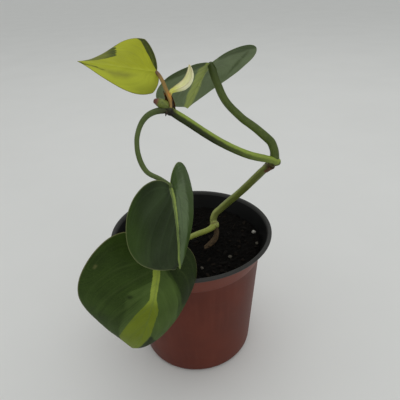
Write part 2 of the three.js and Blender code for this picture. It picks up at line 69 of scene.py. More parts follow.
STALKS = {
    "petiole_1": ([(12.9, 3.6, 78.4), (10.7, 0.4, 78.7), (7.7, -3.3, 79.7), (4.9, -7.1, 81.3), (2.2, -11.2, 83.0),
                   (-0.4, -15.5, 84.8), (-3.4, -21.2, 87.1), (-6.1, -28.5, 90.0), (-8.7, -37.0, 93.0),
                   (-10.9, -44.4, 95.4), (-12.97, -51.1, 97.35)], (1.45, 1.25, 1.15)),
    "petiole_2": ([(-6.2, -29.2, 157.7), (-8.4, -30.3, 157.8), (-10.4, -31.3, 157.7), (-12.3, -32.5, 157.3),
                   (-13.9, -33.8, 156.5), (-15.3, -35.5, 155.3), (-16.4, -37.4, 153.7), (-17.1, -39.3, 152.0),
                   (-17.5, -41.2, 150.3), (-17.5, -43.1, 148.5), (-17.3, -44.9, 146.8), (-16.8, -46.6, 145.0),
                   (-16.0, -48.2, 143.1), (-14.9, -49.5, 141.3), (-13.7, -50.4, 140.0), (-12.2, -51.1, 139.1),
                   (-10.5, -51.6, 138.4), (-9.0, -52.1, 137.7), (-7.5, -52.7, 136.8), (-5.55, -53.6, 135.45)],
                  (1.25, 1.02, 1.0)),
    "petiole_3": ([(42.9, -12.3, 124.6), (42.8, -11.5, 128.9), (42.2, -10.9, 131.3), (41.1, -10.4, 133.7),
                   (39.2, -10.1, 135.7), (36.8, -9.7, 137.9), (34.0, -9.3, 140.4), (31.2, -8.9, 142.6),
                   (27.9, -8.4, 145.1), (25.2, -7.7, 147.7), (22.5, -6.9, 150.4), (20.2, -6.0, 153.3),
                   (18.5, -5.1, 156.4), (17.1, -3.9, 159.9), (15.8, -2.8, 163.3), (14.9, -1.8, 166.4),
                   (14.0, -1.2, 168.7)], (1.95, 1.6, 1.35)),
    "petiole_4": ([(-4.0, -28.6, 157.2), (-3.9, -28.3, 159.8), (-4.3, -27.6, 161.7), (-4.8, -27.0, 163.2),
                   (-5.4, -26.4, 164.7), (-5.9, -25.9, 166.2), (-6.6, -25.3, 167.9), (-7.4, -24.8, 169.6),
                   (-8.2, -24.45, 170.9), (-8.7, -24.3, 171.45)], (1.05, 0.92, 0.80, 0.66)),
}
CUTTING = [
    (14.0, 3.7, 76.8), (14.4, 2.4, 74.9), (13.8, -0.2, 73.3), (11.6, -2.7, 71.6), (9.0, -4.8, 70.4), (6.0, -6.9, 68.6),
    (2.6, -9.0, 65.2), (0.4, -10.4, 60.4), (-0.3, -11.0, 54.6)]
ROOTS = [
    [(6.0, -6.9, 68.6), (12, -11, 63), (18, -13, 55), (20, -16, 45), (23, -17, 34)],
    [(2.6, -9.0, 65.2), (-4, -14, 60), (-12, -17, 52), (-16, -16, 42), (-20, -18, 32)],
    [(0.4, -10.4, 60.4), (3, -3, 53), (5, 7, 46), (4, 15, 36), (6, 20, 25)],
    [(0.4, -10.4, 60.4), (-6, -5, 52), (-13, 3, 44), (-17, 10, 33), (-18, 14, 22)],
    [(-0.3, -11.0, 54.6), (3, -14, 46), (5, -18, 36), (4, -20, 26), (7, -19, 17)]]
PERLITE = [((36.5, 5.9), 1.25, 0.4), ((36.6, -5.3), 1.0, 1.3), ((5.1, -24.6), 0.9, 2.2), ((20.5, -16.4), 1.0, 3.1)]
CATAPHYLL = [
    (-3.5, -26.9, 163.9), (-2.35, -26.45, 164.3), (-0.69, -26.13, 164.9), (0.98, -25.9, 165.72), (2.46, -25.27, 166.81),
    (3.57, -24.4, 168.35), (4.16, -23.42, 170.08), (4.38, -22.22, 171.79), (4.27, -21.01, 173.32)]
CATAPHYLL_WIDTH = (0.75, 1.35, 1.85, 2.1, 2.1, 1.85, 1.5, 1.05, 0.3)
COLLAR = [(38.9, -8.8, 118.8), (40.3, -9.7, 120.6), (41.5, -10.6, 121.9)]
BUD = [(-6.2, -28.9, 159.5), (-7.1, -29.1, 159.9), (-8.45, -29.03, 160.6), (-9.97, -29.05, 161.3)]
AERIAL = [(-5.8, -29.6, 156.9), (-6.0, -30.9, 156.3), (-6.2, -32.1, 155.6)]


# ------------------------------------------------------------------ number helpers
def unit(a):
    a = np.asarray(a, float)
    return a / np.maximum(np.linalg.norm(a, axis=-1, keepdims=True), 1e-12)


def smooth(x, lo, hi):
    t = np.clip((np.asarray(x, float) - lo) / (hi - lo), 0, 1)
    return t * t * (3 - 2 * t)


def uniform_spline(points, n):
    """Catmull-Rom through the points, equal parameter steps."""
    p = np.asarray(points, float)
    q = np.vstack([2 * p[0] - p[1], p, 2 * p[-1] - p[-2]])
    m = len(p) - 1
    t = np.linspace(0, m, n)
    i = np.minimum(t.astype(int), m - 1)
    f = (t - i)[:, None]
    a, b, c, d = q[i], q[i + 1], q[i + 2], q[i + 3]
    return 0.5 * (2 * b + (c - a) * f + (2 * a - 5 * b + 4 * c - d) * f ** 2 + (3 * b - a - 3 * c + d) * f ** 3)


def curve(points, n):
    """Centripetal Catmull-Rom through the points, n equally spaced samples."""
    p = np.asarray(points, float)
    q = np.vstack([2 * p[0] - p[1], p, 2 * p[-1] - p[-2]])
    out = []
    for i in range(len(p) - 1):
        a, b, c, d = q[i], q[i + 1], q[i + 2], q[i + 3]
        d0, d1, d2 = (max(np.linalg.norm(y - x) ** 0.5, 1e-4) for x, y in ((a, b), (b, c), (c, d)))
        t1 = ((b - a) / d0 - (c - a) / (d0 + d1) + (c - b) / d1) * d1
        t2 = ((c - b) / d1 - (d - b) / (d1 + d2) + (d - c) / d2) * d1
        f = np.linspace(0, 1, 40, endpoint=(i == len(p) - 2))[:, None]
        out.append(b + t1 * f + (-3 * b + 3 * c - 2 * t1 - t2) * f ** 2 + (2 * b - 2 * c + t1 + t2) * f ** 3)
    fine = np.vstack(out)
    s = np.r_[0, np.cumsum(np.linalg.norm(np.diff(fine, axis=0), axis=1))]
    return np.stack([np.interp(np.linspace(0, s[-1], n), s, fine[:, k]) for k in range(3)], -1)


def transport(line, start=None):
    """Tangents and two cross directions that turn as little as possible along the line."""
    t = unit(np.gradient(line, axis=0))
    u = np.array(start if start is not None else (0.0, 0.0, 1.0), float)
    if start is None and abs(t[0] @ u) > 0.9:
        u = np.array((1.0, 0, 0))
    us = []
    for k in range(len(line)):
        u = unit(u - (u @ t[k]) * t[k])
        us.append(u)
    us = np.array(us)
    return t, us, np.cross(t, us)


def _hash(ix, iy, iz, seed):
    h = (ix * 374761393 + iy * 668265263 + iz * 2147483647 + seed * 1274126177) & 0xFFFFFFFF
    h = ((h ^ (h >> 13)) * 1274126177) & 0xFFFFFFFF
    h = h ^ (h >> 16)
    return (h & 0xFFFF) / 65535.0


def noise(p, seed=0):
    """Value noise from 0 to 1 at points (n, 3)."""
    p = np.asarray(p, float)
    i = np.floor(p).astype(np.int64)
    f = p - i
    f = f * f * (3 - 2 * f)
    out = 0
    for dx in (0, 1):
        for dy in (0, 1):
            for dz in (0, 1):
                w = ((f[:, 0] if dx else 1 - f[:, 0]) * (f[:, 1] if dy else 1 - f[:, 1])
                     * (f[:, 2] if dz else 1 - f[:, 2]))
                out = out + w * _hash(i[:, 0] + dx, i[:, 1] + dy, i[:, 2] + dz, seed)
    return out


def fbm(p, octaves=3, seed=0):
    total, amp, out = 0, 1.0, 0
    for k in range(octaves):
        out = out + amp * (noise(np.asarray(p) * 2 ** k, seed + 17 * k) - 0.5)
        total += amp
        amp *= 0.5
    return out / total * 2


# ------------------------------------------------------------------ mesh helpers
def build(name, verts, faces, material=None, attributes=None, smooth_shade=True, face_material=None):
    """One mesh object in metres from points in millimetres."""
    me = bpy.data.meshes.new(name)
    me.from_pydata((np.asarray(verts, float) * MM).tolist(), [], [tuple(int(i) for i in f) for f in faces])
    me.validate()
    for key, values in (attributes or {}).items():
        values = np.asarray(values, np.float32)
        if values.ndim == 1:
            me.attributes.new(key, "FLOAT", "POINT").data.foreach_set("value", values)
        else:
            me.attributes.new(key, "FLOAT_VECTOR", "POINT").data.foreach_set("vector", values.ravel())
    ob = bpy.data.objects.new(name, me)
    bpy.context.scene.collection.objects.link(ob)
    for m in (material if isinstance(material, (list, tuple)) else [material]):
        if m is not None:
            me.materials.append(m)
    if face_material is not None:
        me.polygons.foreach_set("material_index", np.asarray(face_material, np.int32))
    me.polygons.foreach_set("use_smooth", [smooth_shade] * len(me.polygons))
    bm = bmesh.new()
    bm.from_mesh(me)
    bmesh.ops.recalc_face_normals(bm, faces=bm.faces)
    bm.to_mesh(me)
    bm.free()
    me.update()
    return ob


def grid_faces(rows, cols, wrap=True, offset=0):
    faces = []
    for i in range(rows - 1):
        for j in range(cols if wrap else cols - 1):
            k = (j + 1) % cols
            faces.append((offset + i * cols + j, offset + i * cols + k, offset + (i + 1) * cols + k,
                          offset + (i + 1) * cols + j))
    return faces


def tube(points, radius, around=24, step=0.45, round_ends=(True, True), start=None, shape=None, extend=(0.0, 0.0)):
    """A closed tube round a line. radius(t) in mm, shape(t, angle, centre) an added radius. Returns verts, faces, t, angle."""
    line = np.asarray(points, float)
    if extend[0]:
        line = np.vstack([line[0] + unit(line[0] - line[1]) * extend[0], line])
    if extend[1]:
        line = np.vstack([line, line[-1] + unit(line[-1] - line[-2]) * extend[1]])
    length = np.linalg.norm(np.diff(curve(line, 200), axis=0), axis=1).sum()
    n = max(8, int(round(length / step)))
    c = curve(line, n)
    t, u, w = transport(c, start)
    ts = np.linspace(0, 1, n)
    r = np.array([radius(x) for x in ts])
    rows, tt = [], []
    k_end = 5

    def cap(i, sign):
        out = []
        for k in range(k_end, 0, -1):
            a = (k / k_end) * math.pi / 2 * 0.97
            out.append((c[i] + sign * t[i] * r[i] * math.sin(a) * 0.8, math.cos(a) * r[i], i))
        return out
    profile = []
    if round_ends[0]:
        profile += cap(0, -1)
    profile += [(c[i], r[i], i) for i in range(n)]
    if round_ends[1]:
        profile += list(reversed(cap(n - 1, 1)))
    ang = np.linspace(0, 2 * np.pi, around, endpoint=False)
    for centre, rad, i in profile:
        rr = np.full(around, rad)
        if shape is not None:
            rr = rr + shape(ts[i], ang, centre) * (rad / max(r[i], 1e-6))
        rows.append(centre + rr[:, None] * (np.cos(ang)[:, None] * u[i] + np.sin(ang)[:, None] * w[i]))
        tt.append(np.full(around, ts[i]))
    v = np.vstack(rows)
    faces = grid_faces(len(rows), around)
    a0, a1 = len(v), len(v) + 1
    v = np.vstack([v, rows[0].mean(0), rows[-1].mean(0)])
    last = (len(rows) - 1) * around
    for j in range(around):
        k = (j + 1) % around
        faces.append((a0, k, j))
        faces.append((a1, last + j, last + k))
    tt = np.r_[np.concatenate(tt), 0, 1]
    aa = np.r_[np.tile(ang, len(rows)), 0, 0]
    return v, faces, tt, aa


def merge(parts):
    """Several (verts, faces, ...) into one."""
    verts, faces, rest, at = [], [], [], 0
    for p in parts:
        verts.append(p[0])
        faces += [tuple(i + at for i in f) for f in p[1]]
        rest.append(p[2:])
        at += len(p[0])
    extra = [np.concatenate([r[k] for r in rest]) for k in range(len(rest[0]))] if rest and rest[0] else []
    return (np.vstack(verts), faces, *extra)


def through(values):
    xs = np.linspace(0, 1, len(values))
    return lambda t: float(np.interp(t, xs, values))


def apply_modifiers(ob):
    dg = bpy.context.evaluated_depsgraph_get()
    me = bpy.data.meshes.new_from_object(ob.evaluated_get(dg), depsgraph=dg)
    old = ob.data
    ob.modifiers.clear()
    ob.data = me
    me.name = old.name
    return ob


def coords(ob):
    co = np.zeros(len(ob.data.vertices) * 3)
    ob.data.vertices.foreach_get("co", co)
    return co.reshape(-1, 3)


def set_attribute(ob, name, values):
    a = ob.data.attributes.get(name) or ob.data.attributes.new(name, "FLOAT", "POINT")
    a.data.foreach_set("value", np.asarray(values, np.float32))


# ------------------------------------------------------------------ material helpers
def srgb(r, g, b):
    def lin(x):
        x = x / 255.0
        return x / 12.92 if x <= 0.04045 else ((x + 0.055) / 1.055) ** 2.4
    return (lin(r), lin(g), lin(b), 1.0)


class Nodes:
    """Small helper that writes node trees."""

    def __init__(self, name):
        self.mat = bpy.data.materials.new(name)
        self.mat.use_nodes = True
        self.t = self.mat.node_tree
        self.t.nodes.clear()
        self.out = self.t.nodes.new("ShaderNodeOutputMaterial")
        self.bsdf = self.t.nodes.new("ShaderNodeBsdfPrincipled")
        self.t.links.new(self.bsdf.outputs[0], self.out.inputs[0])

    def put(self, socket, value):
        if hasattr(value, "is_output") or isinstance(value, bpy.types.NodeSocket):
            self.t.links.new(value, socket)
        else:
            socket.default_value = value

    def attr(self, name, kind="Fac"):
        n = self.t.nodes.new("ShaderNodeAttribute")
        n.attribute_name = name
        return n.outputs[kind]

    def position(self):
        n = self.t.nodes.new("ShaderNodeTexCoord")
        return n.outputs["Object"]

    def scaled(self, vector, scale):
        n = self.t.nodes.new("ShaderNodeMapping")
        self.t.links.new(vector, n.inputs[0])
        n.inputs["Scale"].default_value = scale if isinstance(scale, (tuple, list)) else (scale,) * 3
        return n.outputs[0]

    def noise(self, vector, scale, detail=3.0, rough=0.55, distortion=0.0):
        n = self.t.nodes.new("ShaderNodeTexNoise")
        self.t.links.new(vector, n.inputs["Vector"])
        n.inputs["Scale"].default_value = scale
        n.inputs["Detail"].default_value = detail
        n.inputs["Roughness"].default_value = rough
        n.inputs["Distortion"].default_value = distortion
        return n.outputs[0]

    def separate_z(self, vector):
        n = self.t.nodes.new("ShaderNodeSeparateXYZ")
        self.t.links.new(vector, n.inputs[0])
        return n.outputs[2]

    def voronoi(self, vector, scale, feature="F1", rand=1.0, out=0):
        n = self.t.nodes.new("ShaderNodeTexVoronoi")
        n.feature = feature
        self.t.links.new(vector, n.inputs["Vector"])
        n.inputs["Scale"].default_value = scale
        n.inputs["Randomness"].default_value = rand
        return n.outputs[out]

    def math(self, op, a, b=0.0, c=None, clamp=False):
        n = self.t.nodes.new("ShaderNodeMath")
        n.operation = op
        n.use_clamp = clamp
        self.put(n.inputs[0], a)
        self.put(n.inputs[1], b)
        if c is not None:
            self.put(n.inputs[2], c)
        return n.outputs[0]

    def step(self, value, lo, hi, to=(0.0, 1.0)):
        n = self.t.nodes.new("ShaderNodeMapRange")
        n.interpolation_type = "SMOOTHSTEP"
        self.put(n.inputs["Value"], value)
        n.inputs["From Min"].default_value = lo
        n.inputs["From Max"].default_value = hi
        n.inputs["To Min"].default_value = to[0]
        n.inputs["To Max"].default_value = to[1]
        return n.outputs[0]

    def mix(self, fac, a, b, blend="MIX"):
        n = self.t.nodes.new("ShaderNodeMix")
        n.data_type = "RGBA"
        n.blend_type = blend
        n.clamp_factor = True
        self.put(n.inputs[0], fac)
        self.put(n.inputs[6], a)
        self.put(n.inputs[7], b)
        return n.outputs[2]

    def bump(self, height, strength=0.3, distance=0.0002, normal=None):
        n = self.t.nodes.new("ShaderNodeBump")
        n.inputs["Strength"].default_value = strength
        n.inputs["Distance"].default_value = distance
        self.put(n.inputs["Height"], height)
        if normal is not None:
            self.t.links.new(normal, n.inputs["Normal"])
        return n.outputs[0]

    def finish(self, color, roughness, normal=None, **constants):
        self.put(self.bsdf.inputs["Base Color"], color)
        self.put(self.bsdf.inputs["Roughness"], roughness)
        if normal is not None:
            self.t.links.new(normal, self.bsdf.inputs["Normal"])
        for key, value in constants.items():
            self.bsdf.inputs[key.replace("_", " ")].default_value = value
        return self.mat


# ------------------------------------------------------------------ camera, light and floor
scene = bpy.context.scene
cam_data = bpy.data.cameras.new("camera")
cam = bpy.data.objects.new("camera", cam_data)
scene.collection.objects.link(cam)
scene.camera = cam
cam_data.sensor_width = 36.0
cam_data.sensor_fit = "HORIZONTAL"
cam_data.lens = 401.0 / 400.0 * 36.0
cam_data.clip_start, cam_data.clip_end = 0.01, 20.0
pitch, roll = math.radians(29.6), math.radians(-3.0)
FWD = np.array([0, math.cos(pitch), -math.sin(pitch)])
RIGHT = np.array([1.0, 0, 0])
UP = np.cross(RIGHT, FWD)
RIGHT, UP = math.cos(roll) * RIGHT + math.sin(roll) * UP, -math.sin(roll) * RIGHT + math.cos(roll) * UP
EYE = np.array([5.85, -189.5, 205.7]) * MM
cam.matrix_world = Matrix([[RIGHT[0], UP[0], -FWD[0], EYE[0]], [RIGHT[1], UP[1], -FWD[1], EYE[1]],
                           [RIGHT[2], UP[2], -FWD[2], EYE[2]], [0, 0, 0, 1]])

scene.view_settings.view_transform = "Standard"
scene.view_settings.look = "None"


def area_light(name, at, target, size, power, color=(1, 1, 1)):
    data = bpy.data.lights.new(name, "AREA")
    data.shape = "RECTANGLE"
    data.size, data.size_y = size
    data.energy = power
    data.color = color
    ob = bpy.data.objects.new(name, data)
    ob.location = at
    ob.rotation_mode = "QUATERNION"
    ob.rotation_quaternion = (Vector(target) - Vector(at)).to_track_quat("-Z", "Y")
    scene.collection.objects.link(ob)
    return ob


area_light("key", (0.12, 0.25, 1.2), (0.0, 0.0, 0.08), (1.0, 0.9), 2.5, (1.0, 0.99, 0.97))
area_light("fill", (0.25, -0.85, 1.0), (0.0, 0.0, 0.08), (0.9, 0.8), 1.9, (1.0, 0.995, 0.985))
world = bpy.data.worlds.new("world")
scene.world = world
world.use_nodes = True
world.node_tree.nodes["Background"].inputs[0].default_value = (0.985, 1.0, 0.985, 1)
world.node_tree.nodes["Background"].inputs[1].default_value = 0.55

n = Nodes("paper_floor")
p = n.position()
floor_mat = n.finish(
    n.mix(n.noise(p, 9.0, 3), srgb(226, 227, 226), srgb(233, 234, 233)), 0.85,
    n.bump(n.noise(p, 900.0, 2), 0.05, 0.0003), Specular_IOR_Level=0.1)
half, deep = 20.0, 20.0
floor = build("floor", [(-half * 1000, -half * 1000, -0.15), (half * 1000, -half * 1000, -0.15),
                        (half * 1000, deep * 1000, -0.15), (-half * 1000, deep * 1000, -0.15)],
              [(0, 1, 2, 3)], floor_mat, smooth_shade=False)


# ------------------------------------------------------------------ materials of the leaves
def leaf_material(name, dark, medium, lime, margin, under_dark, under_mid, under_lime, vein, rough=0.50, lime_b=None,
                  deep_k=0.8, under_deep=0.55, grass=None, speck=None):
    """Leaf surface: sectors, veins and margin are painted by the mesh's own leaf coordinates; on leaf 1 the deep sector
    also carries painted shade.
    """
    n = Nodes(name)
    leafuv = n.attr("leafuv", "Vector")       # along the midrib, out from it, and across the side veins
    pos = n.position()
    streak = n.noise(n.scaled(leafuv, (3.0, 3.0, 34.0)), 1.0, 3, 0.6)
    broad = n.noise(n.scaled(pos, 95.0), 1.0, 2, 0.5)
    cells = n.voronoi(pos, 2600.0)
    net = n.voronoi(pos, 900.0, "DISTANCE_TO_EDGE")
    shade = n.math("ADD", n.math("MULTIPLY", streak, 0.55), n.math("MULTIPLY", broad, 0.45))

    def tone(color, low=0.72, high=1.28):
        a = tuple(c * low for c in color[:3]) + (1,)
        b = tuple(min(1.0, c * high) for c in color[:3]) + (1,)
        return n.mix(n.step(shade, 0.32, 0.68), a, b)
    jitter = n.math("MULTIPLY", n.math("SUBTRACT", streak, 0.5), 0.55)

    def sector(attribute, soft=0.16):
        return n.step(n.math("ADD", n.attr(attribute), n.math("MULTIPLY", jitter, 1.0)), 0.5 - soft, 0.5 + soft)
    lime_top = tone(lime, 0.86, 1.12)
    if lime_b is not None:
        lime_top = n.mix(n.attr("bright"), lime_top, tone(lime_b, 0.9, 1.1))
    ground = tone(dark) if grass is None else n.mix(n.attr("grass"), tone(dark), tone(grass, 0.8, 1.2))
    top = n.mix(sector("medium", 0.2), ground, tone(medium, 0.8, 1.2))
    top = n.mix(sector("lime", 0.13), top, lime_top)
    # deep sector: dark patches of the leaf, and on leaf 1 painted shade over the right lobe
    top = n.mix(sector("deep", 0.2), top, tone(tuple(c * deep_k for c in dark[:3]) + (1,), 0.8, 1.2))
    top = n.mix(n.math("MULTIPLY", n.attr("midrib"), 0.8), top, tone(vein, 0.9, 1.1))
    top = n.mix(n.math("MULTIPLY", n.attr("vein"), 0.22), top, vein)
    low = n.mix(sector("medium", 0.25), tone(under_dark, 0.85, 1.15), tone(under_mid, 0.88, 1.12))
    low = n.mix(sector("lime", 0.2), low, tone(under_lime, 0.9, 1.1))
    low = n.mix(sector("deep", 0.2), low, tone(tuple(c * under_deep for c in under_dark[:3]) + (1,), 0.85, 1.15))
    low = n.mix(n.math("MULTIPLY", n.attr("midrib"), 0.75), low, tone(under_lime, 0.95, 1.1))
    low = n.mix(n.math("MULTIPLY", n.attr("vein"), 0.4), low, under_mid)
    color = n.mix(n.attr("under"), top, low)
    color = n.mix(n.math("MULTIPLY", n.step(net, 0.0, 0.09, (1.0, 0.0)), 0.10), color, vein)
    color = n.mix(n.math("MULTIPLY", n.attr("sheen"), 0.55), color, n.mix(broad, medium, vein))
    color = n.mix(n.attr("margin"), color, margin)
    color = n.mix(n.math("MULTIPLY", n.attr("speck"), 0.7), color, speck or margin)
    height = n.math("ADD", n.math("MULTIPLY", cells, 0.35), n.math("MULTIPLY", n.step(net, 0.0, 0.14), 0.5))
    normal = n.bump(height, 0.25, 0.00005)
    r = n.math("ADD", rough - 0.07, n.math("MULTIPLY", n.noise(pos, 420.0, 3), 0.16))
    r = n.math("ADD", r, n.math("MULTIPLY", n.attr("under"), 0.12))
    return n.finish(color, r, normal, Specular_IOR_Level=0.10)


LEAF_MATERIALS = {
    # leaf 1's deep colour is darker, since its deep mask carries painted shade on the right lobe
    "leaf_1": leaf_material("leaf_1_skin", srgb(48, 66, 22), srgb(70, 90, 40), srgb(108, 122, 30), srgb(130, 126, 82),
                            srgb(82, 98, 58), srgb(102, 116, 70), srgb(146, 156, 76), srgb(92, 110, 60),
                            lime_b=srgb(146, 162, 64), deep_k=0.45),
    "leaf_2": leaf_material("leaf_2_skin", srgb(34, 48, 18), srgb(91, 109, 74), srgb(132, 152, 76), srgb(128, 134, 88),
                            srgb(84, 100, 62), srgb(110, 126, 86), srgb(150, 160, 90), srgb(70, 88, 58),
                            lime_b=srgb(142, 160, 80), deep_k=0.6, grass=srgb(54, 76, 24)),
    "leaf_3": leaf_material("leaf_3_skin", srgb(54, 76, 30), srgb(90, 112, 58), srgb(146, 156, 54), srgb(104, 122, 72),
                            srgb(88, 106, 62), srgb(116, 132, 94), srgb(170, 184, 96), srgb(104, 122, 72),
                            lime_b=srgb(162, 174, 74), under_deep=0.75),
    "leaf_4": leaf_material("leaf_4_skin", srgb(60, 72, 18), srgb(104, 110, 36), srgb(160, 166, 34), srgb(136, 132, 58),
                            srgb(100, 112, 46), srgb(134, 142, 56), srgb(176, 182, 76), srgb(160, 168, 56), rough=0.46,
                            lime_b=srgb(182, 190, 60), speck=srgb(122, 120, 62)),
}


# ------------------------------------------------------------------ leaf blades
# Side veins of one half, in leaf units with both half widths at 1: along the midrib, out from it.
VEINS = [
    [(0.0, 0.0), (-0.035, 0.05), (-0.09, 0.13), (-0.115, 0.22), (-0.09, 0.33), (-0.02, 0.42), (0.09, 0.485)],
    [(0.0, 0.0), (0.005, 0.09), (0.03, 0.2), (0.085, 0.32), (0.18, 0.42), (0.30, 0.475), (0.42, 0.46)],
    [(0.03, 0.0), (0.09, 0.09), (0.17, 0.2), (0.28, 0.31), (0.42, 0.375), (0.56, 0.365), (0.68, 0.29)],
    [(0.17, 0.0), (0.25, 0.08), (0.35, 0.165), (0.48, 0.245), (0.62, 0.27), (0.75, 0.215), (0.83, 0.145)],
    [(0.34, 0.0), (0.42, 0.06), (0.52, 0.115), (0.64, 0.16), (0.77, 0.15), (0.86, 0.1)],
    [(0.52, 0.0), (0.60, 0.04), (0.70, 0.075), (0.80, 0.085), (0.90, 0.05)],
    [(0.70, 0.0), (0.78, 0.022), (0.87, 0.035), (0.94, 0.025)],
]


def vein_fields(s, v):
    """Distance to the nearest side vein, its fade, and a smooth count across the veins."""
    best = np.full(len(s), 9.0)
    fade = np.zeros(len(s))
    near = []
    for pts in VEINS:
        c = uniform_spline(pts, 34)
        d = np.full(len(s), 9.0)
        tt = np.zeros(len(s))
        for i in range(len(c) - 1):
            a, b = c[i], c[i + 1]
            ab = b - a
            t = np.clip(((s - a[0]) * ab[0] + (v - a[1]) * ab[1]) / (ab @ ab), 0, 1)
            e = np.hypot(s - a[0] - t * ab[0], v - a[1] - t * ab[1])
            closer = e < d
            d = np.where(closer, e, d)
            tt = np.where(closer, (i + t) / (len(c) - 1), tt)
        near.append(d)
        closer = d < best
        best = np.where(closer, d, best)
        fade = np.where(closer, 1 - 0.75 * tt, fade)
    w = np.array([1 / (d + 0.012) ** 3 for d in near])
    psi = (w * np.arange(len(VEINS))[:, None]).sum(0) / w.sum(0)
    return best, fade, psi


def blade_surface(q):
    t0 = unit(q["t"])
    n0 = np.array(q["n"], float)
    n0 = unit(n0 - (n0 @ t0) * t0)
    frame0 = np.stack([t0, np.cross(n0, t0), n0])
    g = np.linspace(-0.4, 1.02, 143)
    al = q["droop"][0] * g + q["droop"][1] * g * g * np.sign(g)
    be = q["bend"] * g
    t = np.stack([np.cos(al) * np.cos(be), np.sin(be), -np.sin(al) * np.cos(be)], -1)
    b = np.stack([-np.cos(al) * np.sin(be), np.cos(be), np.sin(al) * np.sin(be)], -1)
    nn = np.cross(t, b)
    tw = q["twist"] * g
    c, si = np.cos(tw)[:, None], np.sin(tw)[:, None]
    b, nn = c * b + si * nn, -si * b + c * nn
    m = np.vstack([[0, 0, 0], np.cumsum(0.5 * (t[1:] + t[:-1]) * (g[1] - g[0]), 0)])
    m = m - m[np.argmin(abs(g))]

    def at(s, v, side):
        pick = lambda a: np.stack([np.interp(s, g, a[:, k]) for k in range(3)], -1)
        mm, bb, ne = pick(m), unit(pick(b)), unit(pick(nn))
        k = np.where(side > 0, 0, 1)
        fold, curl = np.array(q["fold"])[k], np.array(q["curl"])[k]
        ph = fold[:, 0] + fold[:, 1] * s
        cc = curl[:, 0] + curl[:, 1] * s
        cc = np.where(abs(cc) < 1e-4, 1e-4, cc)
        a = (np.sin(ph + cc * v) - np.sin(ph)) / cc
        h = (np.cos(ph) - np.cos(ph + cc * v)) / cc
        pt = mm + bb * (side * a)[:, None] + ne * h[:, None]
        turn = (ph + cc * v)[:, None]
        no = ne * np.cos(turn) - bb * side[:, None] * np.sin(turn)
        return np.array(q["base"]) + q["length"] * (pt @ frame0), no @ frame0
    return at


def band(x, y, lo, hi, soft):
    """0..1: how far y lies inside the band lo(x)..hi(x), both polylines as (x, y) lists; 0.5 at its edges."""
    a = np.interp(x, *np.array(lo).T)
    b = np.interp(x, *np.array(hi).T)
    inside = np.minimum(y - a, b - y)
    return np.clip(0.5 + inside / (2 * soft), 0, 1)


